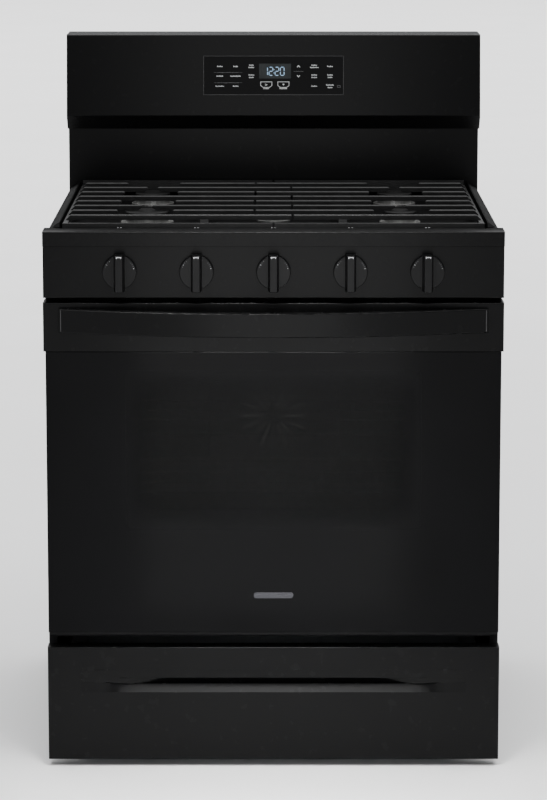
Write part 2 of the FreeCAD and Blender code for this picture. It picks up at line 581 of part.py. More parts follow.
def eased(inward, span):
    """0 before the span, 1 after it, with a smooth rise between."""
    t = min(max((inward - span[0]) / (span[1] - span[0]), 0.0), 1.0)
    return t * t * (3 - 2 * t)


def pull_section(inward, grow):
    """Outline of the pull in depth and height: a wall below the top edge, a pocket, then a ramp out."""
    wall, ramp, pocket = (eased(inward, span) for span in (PULL_WALL, PULL_RAMP, PULL_POCKET))
    points = [
        (0.0, SCOOP_Z1, 0.3, 1.0),
        (0.3 + 2.8 * wall, SCOOP_Z1 - 1.0, 0.8, 1.2),
        (0.5 + 4.0 * wall, SCOOP_Z1 - 15.0, 0.7, 1.2),
        (0.8 + 3.9 * wall + 15.3 * pocket, SCOOP_Z1 - 16.0 + 4.5 * pocket, 1.0, 1.2),
        (1.0 + 3.9 * wall + 19.1 * pocket, SCOOP_Z0 + 17.5 - 5.0 * ramp, 1.0, -1.0),
        (0.8 + 3.7 * wall + 6.0 * ramp, SCOOP_Z0 + 16.0 - 4.0 * ramp, 0.4, -1.0),
        (0.0, SCOOP_Z0, 0.0, -1.3),
    ]
    return [(FRONT + depth + out * grow, z + up * grow) for depth, z, out, up in points]


def scoop(grow):
    """The drawer pull's hollow, running out smoothly at both ends. grow is the thickness added all round."""
    left = [(-SCOOP_END - grow + inward, pull_section(inward, grow)) for inward in PULL_STATIONS]
    right = [(-x, section) for x, section in reversed(left)]
    outlines = []
    for x, section in left + right:
        corners = [V(x, y, z) for y, z in section]
        outlines.append(Part.makePolygon(corners + corners[:1]))
    return Part.makeLoft(outlines, True, True)


def drawer_front():
    d = 27.0
    outer = box(-DRAWER_HALF, DRAWER_HALF, FRONT, FRONT + d, DRAWER_BOTTOM, DRAWER_TOP)
    face_edges = edges_at(outer, y=FRONT)
    outer = outer.makeFillet(1.6, face_edges)
    hollow = box(-DRAWER_HALF + SHEET, DRAWER_HALF - SHEET, FRONT + SHEET, FRONT + d + 1,
                 DRAWER_BOTTOM + SHEET, DRAWER_TOP - SHEET)
    skin = cut(outer, [hollow])
    keep("drawer_front", cut(fuse([skin, scoop(SHEET)]), [scoop(0.0)]))


def drawer_tub():
    outer = box(-TUB_HALF, TUB_HALF, TUB_Y0, TUB_Y1, TUB_Z0, TUB_Z1)
    hollow = box(-TUB_HALF + 1, TUB_HALF - 1, TUB_Y0 + 1, TUB_Y1 - 1, TUB_Z0 + 1, TUB_Z1 + 5)
    runners = [box(TUB_HALF, TUB_HALF + 10, TUB_Y0 + 40, TUB_Y1, 88.3, 100.0)]
    runners = runners + [mirror_x(r) for r in runners]
    straps = [box(x - 20, x + 20, FRONT + 27.0, TUB_Y0, z - 6, z + 6)
              for x in (-250.0, 250.0) for z in (95.0, 180.0)]
    link = [box(-DRAWER_HALF, DRAWER_HALF, FRONT + 27.0, FRONT + 28.0, 85, 186)]
    keep("drawer_tub", fuse([cut(outer, [hollow])] + runners + straps + link))


def drawer_glides():
    y0, y1 = FRAME_Y + 8.0, 330.0
    x_out = SIDE - SHEET
    ledge = box(GLIDE_X - 5, x_out, y0, y1, 86.0, 88.0)
    wall = box(x_out - 1.5, x_out, y0, y1, 88.0, 112.0)
    stop = box(GLIDE_X - 5, x_out, y1 - 3, y1, 88.0, 112.0)
    keep("drawer_glides", both_sides(fuse([ledge, wall, stop])))


# ---- control panel, knobs and gas train --------------------------------------------------------------------
SKIRT_BACK = FRONT - 4.5                 # rear face of a knob's skirt; the gap exceeds the push travel
KNOB_FACE = FRONT - 10.0
KNOB_NOSE = FRONT - 30.0
STEM_END = FRONT - 19.0                  # front end of a valve stem, inside its knob
VALVE_Y0, VALVE_Y1 = FRONT + 28.0, FRONT + 64.0
MANIFOLD_Y, MANIFOLD_Z, MANIFOLD_R = FRONT + 46.0, 815.0, 9.5
GAS_X, GAS_RISER_Y, GAS_Z = 250.0, 312.0, 110.0   # regulator, where the supply comes in
INLET_R = 10.67                          # half-inch pipe thread, outside radius


def control_panel():
    z1 = SIDE_Z1 - GAP
    outer = box(-HALF + 0.5, HALF - 0.5, FRONT, FRONT + 48, PANEL_BOTTOM, z1)
    soft = edges_at(outer, y=FRONT, x=-HALF + 0.5) + edges_at(outer, y=FRONT, x=HALF - 0.5)
    outer = outer.makeFillet(1.6, soft + edges_at(outer, y=FRONT, z=PANEL_BOTTOM))
    hollow = box(-HALF + 1.7, HALF - 1.7, FRONT + SHEET, FRONT + 60, PANEL_BOTTOM + SHEET, z1 - SHEET)
    holes = [rod(7.0, (x, FRONT - 5, KNOB_Z), (x, FRONT + 5, KNOB_Z)) for x in KNOB_XS]
    vents = [box(x - 18, x + 18, FRONT + 26, FRONT + 30, PANEL_BOTTOM - 5, PANEL_BOTTOM + 5)
             for x in spaced(-280.0, 280.0, 9)]
    keep("control_panel", cut(outer, [hollow] + holes + vents))


def knob(name, x):
    """Round skirt with a tapered grip bar across it and a blind bore for the valve stem."""
    skirt = rod(28.0, (x, SKIRT_BACK, KNOB_Z), (x, KNOB_FACE, KNOB_Z))
    skirt = skirt.makeFillet(1.5, edges_at(skirt, y=KNOB_FACE))
    base, nose, length = 9.0, 6.0, 30.0
    section = [(x - base, KNOB_FACE + 3), (x + base, KNOB_FACE + 3), (x + base, KNOB_FACE - 2),
               (x + nose, KNOB_NOSE), (x - nose, KNOB_NOSE), (x - base, KNOB_FACE - 2)]
    bar = prism([(px, py, KNOB_Z - length) for px, py in section], (0, 0, 2 * length))
    bar = bar.makeFillet(1.2, edges_at(bar, y=KNOB_NOSE))
    bore = rod(STEM_R + RUN_FIT, (x, SKIRT_BACK + 1, KNOB_Z), (x, STEM_END - KNOB_TRAVEL - 1.5, KNOB_Z))
    keep("knob_" + name, cut(fuse([skirt, bar]), [bore]))


def valve_stem(name, x):
    shaft = rod(STEM_R, (x, STEM_END, KNOB_Z), (x, FRONT + 52, KNOB_Z))
    collar = rod(5.5, (x, FRONT + 20, KNOB_Z), (x, FRONT + 22, KNOB_Z))
    keep("stem_" + name, fuse([shaft, collar]))


def gas_valves():
    made = []
    for x in KNOB_XS:
        body = box(x - 13, x + 13, VALVE_Y0, VALVE_Y1, 830, 856)
        nipple = rod(5.0, (x, MANIFOLD_Y, MANIFOLD_Z + 3), (x, MANIFOLD_Y, 830))
        outlet = rod(6.5, (x, VALVE_Y1, 846), (x, VALVE_Y1 + 8, 846))
        bore = rod(STEM_R + RUN_FIT, (x, VALVE_Y0 - 1, KNOB_Z), (x, FRONT + 58, KNOB_Z))
        tail = rod(4.6, (x, VALVE_Y1 + 4, 846), (x, VALVE_Y1 + 9, 846))
        made.append(cut(fuse([body, nipple, outlet]), [bore, tail]))
    keep("gas_valves", made)


def gas_manifold():
    y, z, r = MANIFOLD_Y, MANIFOLD_Z, MANIFOLD_R
    tube = ring(r, r - 2.5, (-330, y, z), (330, y, z))
    caps = [rod(r, (330, y, z), (334, y, z)), rod(r, (-334, y, z), (-330, y, z))]
    ports = [rod(5.0 + RUN_FIT, (x, y, z), (x, y, z + 20)) for x in KNOB_XS]
    riser = pipe([(GAS_X, GAS_RISER_Y, GAS_Z + 40), (GAS_X, GAS_RISER_Y, z), (GAS_X, y + r - 1, z)], 7.0)
    keep("gas_manifold", cut(fuse([tube, riser] + caps), ports))


def burner_spots():
    """Each burner's place: name, x, y."""
    spots = {n: (x, GRATE_ROWS[row]) for n, (x, row, _) in BURNERS.items()}
    spots["centre"] = (OVAL_BURNER[0], OVAL_BURNER[1])
    return spots


def burner_tubes():
    """Aluminium tubes from the valves to the burners' throats."""
    made = []
    for name, xv in zip(KNOB_NAMES, KNOB_XS):
        xb, yb = burner_spots()[name]
        z = 846.0
        start = VALVE_Y1 + 4.2
        points = [(xv, start, z), (xv, start + 30, z), (xb, max(yb - 60, start + 45), z), (xb, yb, z),
                  (xb, yb, z + 8)]
        if abs(xv - xb) < 1:
            points = [points[0], points[3], points[4]]
        made.append(pipe(points, 4.5))
    keep("burner_tubes", made)


def gas_regulator():
    """Regulator at the low rear, with the half-inch pipe end that the supply's connector screws on to."""
    x, y, z = GAS_X, GAS_RISER_Y, GAS_Z
    body = rod(24.0, (x, y - 15, z), (x, y + 15, z))
    inlet = ring(INLET_R, 7.9, (x, y + 15, z), (x, REAR_PANEL_Y + 12, z))
    top = rod(10.0, (x, y, z + 20), (x, y, z + 40))
    keep("gas_regulator", fuse([body, inlet, top]))


# ---- cooktop -----------------------------------------------------------------------------------------------
RIM_TOP = 914.0                          # crest of the rims along the cooktop's sides
RIM_FRONT = -254.0


def burner_box():
    """Tray that closes the burner compartment below."""
    x1, y0, y1 = SIDE - SHEET - GAP, FRAME_Y + 2 * SHEET + GAP, REAR_PANEL_Y - GAP
    hole = rod(12.0, (GAS_X, GAS_RISER_Y, SHELF_Z - 5), (GAS_X, GAS_RISER_Y, SHELF_Z + 5))
    tray = box(-x1, x1, y0, y1, SHELF_Z, SHELF_Z + SHEET).cut(hole)
    rims = [box(-x1, -x1 + SHEET, y0, y1, SHELF_Z, SHELF_Z + 22),
            box(x1 - SHEET, x1, y0, y1, SHELF_Z, SHELF_Z + 22),
            box(-x1, x1, y0, y0 + SHEET, SHELF_Z, SHELF_Z + 22)]
    keep("burner_box", fuse([tray] + rims))


def cooktop_deck():
    z0, z1, t = SIDE_Z1, LIP_Z, ENAMEL
    lip_y, back_y = FRONT - 1.0, RISER_Y - GAP
    lip = box(-HALF, HALF, lip_y, FRAME_Y, z0, z1)
    lean = (SIDE - DECK_HALF) / (z1 - z0)            # how much the sides draw in per millimetre of height
    edge_z = z1 - 3.6
    outline = [(-SIDE, z0), (SIDE, z0), (DECK_HALF, edge_z), (DECK_HALF - 6, z1), (-DECK_HALF + 6, z1),
               (-DECK_HALF, edge_z)]
    main = prism([(x, FRAME_Y - 5, z) for x, z in outline], (0, back_y - FRAME_Y + 5, 0))
    outer = fuse([lip, main])
    crease = edges_at(outer, y=lip_y, z=z1)
    crease += edges_at(outer, y=lip_y, x=-HALF) + edges_at(outer, y=lip_y, x=HALF)
    outer = outer.makeFillet(2.5, crease)
    low_half, high_half = SIDE - 1.05 * t + 5 * lean, DECK_HALF - 1.05 * t + t * lean
    main_under = prism([(-low_half, FRAME_Y - 10, z0 - 5), (low_half, FRAME_Y - 10, z0 - 5),
                        (high_half, FRAME_Y - 10, z1 - t),
                        (-high_half, FRAME_Y - 10, z1 - t)], (0, back_y - t - FRAME_Y + 10, 0))
    under = fuse([box(-HALF + t, HALF - t, lip_y + t, FRAME_Y - t, z0 - 5, z1 - t), main_under])
    y0, y1 = FRONT + 40.0, back_y - 5.0
    well = tapered((-349, 349, y0 + 14, y1 - 12, 16, DECK_FLOOR_Z), (-368, 368, y0, y1, 22, z1 + 0.01))
    well_out = tapered((-350.5, 350.5, y0 + 12.5, y1 - 10.5, 17, DECK_FLOOR_Z - t),
                       (-369.5, 369.5, y0 - 1.5, y1 + 1.5, 23, z1))
    sheet = cut(outer, [under.cut(well_out)])
    sheet = cut(sheet, [well])
    ridges = []
    for s in (-1, 1):
        pts = [(s * 116 - 18, -236, DECK_FLOOR_Z - 0.5), (s * 116 + 18, -236, DECK_FLOOR_Z - 0.5),
               (s * 116 + 13, -236, DECK_FLOOR_Z + 4), (s * 116 - 13, -236, DECK_FLOOR_Z + 4)]
        ridges.append(prism(pts, (0, 510, 0)))
    rings = []
    for x, y in burner_spots().values():
        if abs(x) > 1:
            rings.append(Part.makeCone(78, 70, 2.5, V(x, y, DECK_FLOOR_Z - 0.5)))
    throats = [rod(17.0, (x, y, 870), (x, y, 900)) for x, y in burner_spots().values()]
    rims = both_sides(side_rim(back_y))
    keep("cooktop_deck", cut(fuse([sheet] + ridges + rings + rims), throats))


def side_rim(back_y):
    """Raised rim along the cooktop's right side, sloping outwards and ramped down at its front end."""
    section = [(352.0, DECK_FLOOR_Z + 2.5), (355.5, RIM_TOP), (358.0, RIM_TOP),
               (DECK_HALF - 0.3, LIP_Z - 3.4), (DECK_HALF - 4.5, LIP_Z - 1.0)]
    rim = prism([(x, RIM_FRONT, z) for x, z in section], (0, back_y - RIM_FRONT, 0))
    ramp = prism([(340, RIM_FRONT, LIP_Z), (340, RIM_FRONT + 14, RIM_TOP + 1), (340, RIM_FRONT, RIM_TOP + 1)],
                 (50, 0, 0))
    return rim.cut(ramp)


def stadium(x, y, r, length, z0, z1):
    """An upright oval block, long from front to back."""
    half = length / 2 - r
    return fuse([rod(r, (x, y - half, z0), (x, y - half, z1)), rod(r, (x, y + half, z0), (x, y + half, z1)),
                 box(x - r, x + r, y - half, y + half, z0, z1)])


SEAT_Z = DECK_FLOOR_Z + 2.0              # burner flanges stand on the raised rings
HEAD_Z = SEAT_Z + 2.5
CAP_Z = HEAD_Z + 14.5


def burner_heads():
    """Aluminium heads with flame ports, on flanges over their throats."""
    made = []
    for x, row, r in BURNERS.values():
        y = GRATE_ROWS[row]
        head = rod(r, (x, y, HEAD_Z), (x, y, CAP_Z))
        ports = []
        for i in range(24):
            port = box(x + r - 4, x + r + 4, y - 0.9, y + 0.9, CAP_Z - 4, CAP_Z + 1)
            port.rotate(V(x, y, 0), V(0, 0, 1), 15.0 * i)
            ports.append(port)
        flange = rod(r + 8, (x, y, SEAT_Z), (x, y, HEAD_Z))
        throat = rod(16.0, (x, y, 855), (x, y, SEAT_Z))
        made.append(fuse([cut(head, ports), flange, throat]))
    x, y, r, length = OVAL_BURNER
    base = DECK_FLOOR_Z
    head = stadium(x, y, r, length, base + 2.5, base + 11)
    ports = [box(x - r - 4, x - r + 4, py - 0.9, py + 0.9, base + 6, base + 12)
             for py in spaced(y - 48, y + 48, 9)]
    ports += [mirror_x(p) for p in ports]
    flange = stadium(x, y, r + 7, length + 14, base, base + 2.5)
    throat = rod(16.0, (x, y, 855), (x, y, base))
    made.append(fuse([cut(head, ports), flange, throat]))
    keep("burner_heads", made)


def burner_caps():
    made = []
    for x, row, r in BURNERS.values():
        y = GRATE_ROWS[row]
        cap = rod(r + 1.5, (x, y, CAP_Z), (x, y, CAP_Z + 4.0))
        made.append(cap.makeFillet(1.8, edges_at(cap, z=CAP_Z + 4.0)))
    x, y, r, length = OVAL_BURNER
    cap = stadium(x, y, r + 1.0, length + 2, DECK_FLOOR_Z + 11, DECK_FLOOR_Z + 15)
    made.append(cap.makeFillet(1.5, [e for e in cap.Edges if e.BoundBox.ZMin > DECK_FLOOR_Z + 14.9]))
    keep("burner_caps", made)


def spark_electrodes():
    made = []
    for x, row, r in BURNERS.values():
        y = GRATE_ROWS[row]
        ex = x + (r + 4.6) * math.cos(math.radians(120))
        ey = y + (r + 4.6) * math.sin(math.radians(120))
        pin = rod(0.8, (ex, ey, CAP_Z - 1), (ex, ey, CAP_Z + 1.5))
        made.append(rod(2.0, (ex, ey, HEAD_Z), (ex, ey, CAP_Z - 1)).fuse(pin))
    x, y, r, _ = OVAL_BURNER
    ex = x + r + 4
    pin = rod(0.8, (ex, y, DECK_FLOOR_Z + 9), (ex, y, DECK_FLOOR_Z + 12))
    made.append(rod(2.0, (ex, y, DECK_FLOOR_Z + 2.5), (ex, y, DECK_FLOOR_Z + 9)).fuse(pin))
    keep("spark_electrodes", made)


GRATE_HALF = 350.0
BAR_W, BAR_H = 7.0, 9.0
REACH_OVER = 32.0                        # how far a long bar runs past the middle
SEAM = 4.0
RAIL_TOP = GRATE_TOP - 8.0
SPINE_X, SPINE_W = -116.0, 14.0
CROSS_GAP, SIDE_GAP = 9.0, 47.0          # half the gap over a burner's middle, and in the bars beside it


def grate_bar(x0, x1, y, slope_in=False, slope_out=False):
    """One bar across the grate. An end may slope down, or be cut back under, as at a burner."""
    top, bottom = GRATE_TOP, GRATE_TOP - BAR_H
    pts = []
    if slope_out:
        pts += [(x0, RAIL_TOP - 9), (x0, RAIL_TOP - 1), (x0 + 9, top)]
    else:
        pts += [(x0, bottom + 4), (x0, top - 1.5), (x0 + 2, top)]
    if slope_in:
        pts += [(x1 - 2, top), (x1, top - 1.5), (x1, bottom + 4), (x1 - 6, bottom)]
    else:
        pts += [(x1, top), (x1, bottom)]
    pts += [(x0 + 12, bottom)] if slope_out else [(x0 + 6, bottom)]
    bar = prism([(px, y - BAR_W / 2, pz) for px, pz in pts], (0, BAR_W, 0))
    half = BAR_W / 2
    section = [(-half + 1.4, bottom - 9), (-half, top - 1.6), (-half + 1.6, top), (half - 1.6, top),
               (half, top - 1.6), (half - 1.4, bottom - 9)]
    return bar.common(prism([(x0, y + dy, z) for dy, z in section], (x1 - x0, 0, 0)))


def grate(side):
    """One of the two interlocking halves. side is -1 for left, 1 for right; built as left, then mirrored."""
    rows = GRATE_ROWS
    yf, yr = rows[0], rows[-1]
    low = RAIL_TOP - 11.0
    pieces = [box(-GRATE_HALF, -GRATE_HALF + 8, yf - 4, yr + 4, low, RAIL_TOP - 1),
              box(-GRATE_HALF, -SEAM / 2, yf - 4, yf + 4, low, RAIL_TOP),
              box(-GRATE_HALF + 1, -SEAM / 2, yr - 4, yr + 4, low, GRATE_TOP - 1)]
    spine_front = rows[1] - 6
    spine = [(spine_front, low), (spine_front + 3, GRATE_TOP - BAR_H + 1), (yr, GRATE_TOP - BAR_H + 1),
             (yr, low)]
    pieces.append(prism([(SPINE_X - SPINE_W / 2, y, z) for y, z in spine], (SPINE_W, 0, 0)))
    burner_rows = [row for _, row, _ in BURNERS.values()]
    for i in range(1, 9):
        long_row = (i % 2 == 1) == (side < 0)
        inner = REACH_OVER - SEAM / 2 if long_row else -REACH_OVER - SEAM / 2
        beside = i - 1 in burner_rows or i + 1 in burner_rows
        gap = CROSS_GAP if i in burner_rows else SIDE_GAP if beside else 0.0
        if gap:
            pieces.append(grate_bar(-GRATE_HALF + 2, -BURNER_X - gap, rows[i], slope_in=True, slope_out=True))
            pieces.append(grate_bar(-BURNER_X + gap, inner, rows[i]))
        else:
            pieces.append(grate_bar(-GRATE_HALF + 2, inner, rows[i], slope_out=True))
    for x, y in ((-GRATE_HALF + 10, yf + 7), (-GRATE_HALF + 10, yr - 9), (-40, yf), (-40, yr)):
        pieces.append(box(x - 4, x + 4, y - 4, y + 4, DECK_FLOOR_Z + 0.3, low + 6))
    whole = fuse(pieces)
    if side > 0:
        whole = mirror_x(whole)
    keep("left_grate" if side < 0 else "right_grate", whole)


# ---- backguard and controls --------------------------------------------------------------------------------
GUARD_HALF = 376.5
COVER_Y = REAR - 3.0                     # rear face of the backguard's cover, inside its turned hem
TOP_DEPTH, LEAN, FACE_H = 94.0, 18.0, 146.0
FACE_TOP_Y = REAR - TOP_DEPTH
FACE_BOTTOM_Y, FACE_BOTTOM_Z = FACE_TOP_Y - LEAN, HEIGHT - FACE_H
UNDER_Y, UNDER_Z = FACE_BOTTOM_Y + 25.0, FACE_BOTTOM_Z - 26.0
FACE_TILT = math.degrees(math.atan2(LEAN, FACE_H))
FACE_MID = V(0, (FACE_TOP_Y + FACE_BOTTOM_Y) / 2, (HEIGHT + FACE_BOTTOM_Z) / 2)
TOUCH_W, TOUCH_H = 256.0, 72.0


def on_face(shape):
    """Moves a shape drawn upright about the origin, facing -Y, on to the leaning console face."""
    shape.rotate(V(0, 0, 0), V(1, 0, 0), -FACE_TILT)
    shape.translate(FACE_MID)
    return shape


def console_housing():
    t = ENAMEL
    back = COVER_Y - SHEET - GAP
    outline = [(back, HEIGHT), (FACE_TOP_Y, HEIGHT), (FACE_BOTTOM_Y, FACE_BOTTOM_Z), (UNDER_Y, UNDER_Z),
               (back, UNDER_Z)]
    outer = prism([(-GUARD_HALF, y, z) for y, z in outline], (2 * GUARD_HALF, 0, 0))
    front = [e for e in outer.Edges if e.BoundBox.YMax < FACE_TOP_Y + 1]
    face_edges = [e for e in front if e.BoundBox.XLength > GUARD_HALF and e.BoundBox.ZMin > FACE_BOTTOM_Z - 1]
    end_edges = [e for e in front if e.BoundBox.XLength < 0.01 and e.BoundBox.ZMax > HEIGHT - 1]
    outer = outer.makeFillet(3.0, face_edges + end_edges)
    inner_line = [(back + 5, HEIGHT - t), (FACE_TOP_Y + t, HEIGHT - t),
                  (FACE_BOTTOM_Y + t, FACE_BOTTOM_Z + 0.4), (UNDER_Y + 1.2, UNDER_Z + t),
                  (back + 5, UNDER_Z + t)]
    inner = prism([(-GUARD_HALF + t, y, z) for y, z in inner_line], (2 * GUARD_HALF - 2 * t, 0, 0))
    window = on_face(rounded_box(-TOUCH_W / 2, TOUCH_W / 2, -10, 10, -TOUCH_H / 2, TOUCH_H / 2, 2.0, "y"))
    flue = [box(x - 30, x + 30, UNDER_Y + 24, UNDER_Y + 34, UNDER_Z - 5, UNDER_Z + 5)
            for x in spaced(-260.0, 260.0, 7)]
    keep("console_housing", cut(outer, [inner, window] + flue))


def touch_panel():
    glass = rounded_box(-TOUCH_W / 2 + 0.5, TOUCH_W / 2 - 0.5, 0.8, 3.0, -TOUCH_H / 2 + 0.5,
                        TOUCH_H / 2 - 0.5, 1.5, "y")
    carrier = box(-TOUCH_W / 2 - 6, TOUCH_W / 2 + 6, 3.0, 5.0, -TOUCH_H / 2 - 5, TOUCH_H / 2 + 5)
    keep("touch_panel", on_face(fuse([glass, carrier])))


def control_board():
    board = box(-120, 120, 14.0, 15.6, -32, 32)
    relays = [box(x - 9, x + 9, 15.6, 29.0, -12, 12) for x in (-90.0, -62.0, -34.0, 60.0)]
    display = box(-31, 31, 6.0, 14.0, 2, 26)
    pegs = [rod(2.5, (x, 5.6, z), (x, 14.0, z)) for x in (-112.0, 112.0) for z in (-26.0, 26.0)]
    keep("control_board", on_face(fuse([board] + relays + [display] + pegs)))


def riser_panel():
    z0, z1 = SIDE_Z1, UNDER_Z - GAP
    x1, y1 = GUARD_HALF - 0.5, COVER_Y - SHEET - GAP
    outer = box(-x1, x1, RISER_Y, y1, z0, z1)
    outer = outer.makeFillet(2.0, edges_at(outer, y=RISER_Y, x=-x1) + edges_at(outer, y=RISER_Y, x=x1))
    hollow = box(-x1 + SHEET, x1 - SHEET, RISER_Y + SHEET, y1 + 5, z0 - 5, z1 - SHEET)
    flue = [box(x - 30, x + 30, UNDER_Y + 24, UNDER_Y + 34, z1 - 5, z1 + 5) for x in spaced(-260.0, 260.0, 7)]
    keep("riser_panel", cut(outer, [hollow] + flue))


def backguard_cover():
    """Sheet cover behind the backguard, with a hem turned outwards all round."""
    x1, z0, z1 = GUARD_HALF - 3.0, SIDE_Z1 + 2, HEIGHT - 3.0
    outer = rounded_box(-x1, x1, COVER_Y - SHEET, REAR, z0, z1, 4.0, "y")
    hollow = rounded_box(-x1 + SHEET, x1 - SHEET, COVER_Y, REAR + 1, z0 + SHEET, z1 - SHEET, 2.8, "y")
    louvres = []
    for row in range(3):
        louvres += slots(spaced(-240.0, 240.0, 9), COVER_Y - 5, COVER_Y + 5, 1120.0 - 14.0 * row, 36.0, 4.0)
    keep("backguard_cover", cut(outer, [hollow] + louvres))


def cord_gland():
    """Strain-relief bush in the rear panel, where the supply cord enters."""
    x, y, z = -300.0, REAR_PANEL_Y, 740.0
    bush = ring(10.8, 4.0, (x, y - 6, z), (x, y + 14, z))
    collar_in = ring(14.0, 4.0, (x, y - 6, z), (x, y - 0.2, z))
    collar_out = ring(14.0, 4.0, (x, y + SHEET + 0.2, z), (x, y + SHEET + 3.2, z))
    keep("cord_gland", fuse([bush, collar_in, collar_out]))


# ---- build and write ---------------------------------------------------------------------------------------
def build():
    for make in (leveling_legs, base_frame, side_panels, rear_panel, front_frame, hinge_arms,
                 oven_cavity, oven_insulation, oven_floor, bake_burner, broil_burner, oven_lamp,
                 fan_motor, convection_fan, fan_cover, door_gasket,
                 door_glass, door_top_band, door_bottom_trim, door_frame, door_inner_panel, door_inner_glass,
                 door_insulation, door_hinges, door_handle, door_badge,
                 drawer_front, drawer_tub, drawer_glides,
                 control_panel, gas_valves, gas_manifold, burner_tubes, gas_regulator,
                 burner_box, cooktop_deck, burner_heads, burner_caps, spark_electrodes,
                 console_housing, touch_panel, control_board, riser_panel, backguard_cover,
                 cord_gland):
        make()
    for name, z in RACKS.items():
        oven_rack(name, z)
    for name, x in zip(KNOB_NAMES, KNOB_XS):
        knob(name, x)
        valve_stem(name, x)
    grate(-1)
    grate(1)


def write():
    os.makedirs("parts", exist_ok=True)
    for name, shape in PARTS.items():
        shape.exportStep(os.path.join("parts", name + ".step"))
        state = "ok" if shape.isValid() and all(s.isClosed() for s in shape.Shells) else "BAD"
        print(f"{name}: {len(shape.Solids)} solids, {shape.Volume / 1000:.1f} cm3, {state}")


build()
write()
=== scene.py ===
"""Looks of a black freestanding gas range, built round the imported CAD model."""
import json
import math

import bmesh
import bpy
from mathutils import Matrix, Vector


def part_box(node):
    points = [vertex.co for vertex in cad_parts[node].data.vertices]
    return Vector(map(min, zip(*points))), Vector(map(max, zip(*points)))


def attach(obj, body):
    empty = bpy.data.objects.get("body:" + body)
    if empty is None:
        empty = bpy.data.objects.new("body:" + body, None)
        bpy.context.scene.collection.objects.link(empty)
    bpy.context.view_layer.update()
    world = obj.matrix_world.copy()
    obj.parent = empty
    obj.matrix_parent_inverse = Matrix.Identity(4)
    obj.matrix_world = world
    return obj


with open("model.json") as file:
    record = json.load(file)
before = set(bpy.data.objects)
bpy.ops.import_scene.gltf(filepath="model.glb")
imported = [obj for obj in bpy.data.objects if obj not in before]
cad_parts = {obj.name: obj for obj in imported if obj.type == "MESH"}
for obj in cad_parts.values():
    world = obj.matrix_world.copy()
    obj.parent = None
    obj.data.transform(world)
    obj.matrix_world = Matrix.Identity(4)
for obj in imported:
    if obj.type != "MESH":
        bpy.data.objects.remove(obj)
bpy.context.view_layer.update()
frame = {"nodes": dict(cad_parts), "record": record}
MM = 0.001
NODES = frame["nodes"]


# ---- places, read from the frame -------------------------------------------------------------------
def middle(node):
    low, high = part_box(node)
    return (Vector(low) + Vector(high)) / 2


FRONT_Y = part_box("control_panel")[0][1]
LIP_LOW, LIP_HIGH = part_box("cooktop_deck")
KNOBS = [n for n in NODES if n.startswith("knob_")]


# ---- camera, light and floor -----------------------------------------------------------------------
CAMERA_DISTANCE = 5.091
CAMERA_HEIGHT = 1.582
CAMERA_TILT = 8.49
CAMERA_LENS = 132.7
CAMERA_SHIFT = -0.18
STRIPS = ((0.22, 0.65), (0.5, 1.6), (0.85, 0.6))     # width in metres and power of each upright strip light
STRIP_AHEAD, STRIP_MIDDLE, STRIP_TALL = 0.75, 0.96, 1.8
STRIP_SPREAD = 80.0                      # degrees; narrow, so that the strips leave the floor alone


def add_camera():
    data = bpy.data.cameras.new("camera")
    data.lens = CAMERA_LENS
    data.sensor_width = 36.0
    data.shift_y = CAMERA_SHIFT
    camera = bpy.data.objects.new("camera", data)
    camera.location = (0.0, -CAMERA_DISTANCE, CAMERA_HEIGHT)
    camera.rotation_euler = (math.radians(90.0 - CAMERA_TILT), 0.0, 0.0)
    bpy.context.scene.collection.objects.link(camera)
    bpy.context.scene.camera = camera


def add_sun(name, strength, angle, tilt_x, tilt_y):
    data = bpy.data.lights.new(name, "SUN")
    data.energy = strength
    data.angle = math.radians(angle)
    lamp = bpy.data.objects.new(name, data)
    lamp.rotation_euler = (math.radians(tilt_x), math.radians(tilt_y), 0.0)
    bpy.context.scene.collection.objects.link(lamp)


def add_area(name, place, target, width, height, power, spread=180.0):
    data = bpy.data.lights.new(name, "AREA")
    data.spread = math.radians(spread)
    data.shape = "RECTANGLE"
    data.size = width
    data.size_y = height
    data.energy = power
    lamp = bpy.data.objects.new(name, data)
    lamp.location = place
    lamp.rotation_euler = (Vector(target) - Vector(place)).to_track_quat("-Z", "Y").to_euler()
    lamp.visible_camera = False
    bpy.context.scene.collection.objects.link(lamp)


def add_lights():
    add_sun("sun", strength=3.4, angle=70.0, tilt_x=8.0, tilt_y=6.0)
    # a wide ceiling far behind the range whitens the floor and the background
    add_area("back_ceiling", (0.0, 14.0, 7.0), (0.0, 14.0, 0.0), width=40.0, height=22.0, power=3800.0)
    strip, front = (0.0, FRONT_Y - STRIP_AHEAD, STRIP_MIDDLE), (0.0, FRONT_Y, STRIP_MIDDLE)
    for i, (width, power) in enumerate(STRIPS):
        add_area("front_strip_%d" % i, strip, front, width, STRIP_TALL, power, STRIP_SPREAD)
    # a small soft pool on the floor before the drawer
    add_area("front_pool", (0.0, FRONT_Y - 0.5, 2.4), (0.0, FRONT_Y - 0.35, 0.0),
             width=0.4, height=0.4, power=4.0, spread=34.0)
    add_area("front_soft", (0.0, -4.0, 5.0), (0.0, FRONT_Y, 0.5), width=4.0, height=2.0, power=22.0)


def add_world():
    world = bpy.data.worlds.new("studio")
    world.use_nodes = True
    back = world.node_tree.nodes["Background"]
    back.inputs["Color"].default_value = (0.93, 0.95, 1.0, 1.0)
    back.inputs["Strength"].default_value = 0.22
    bpy.context.scene.world = world


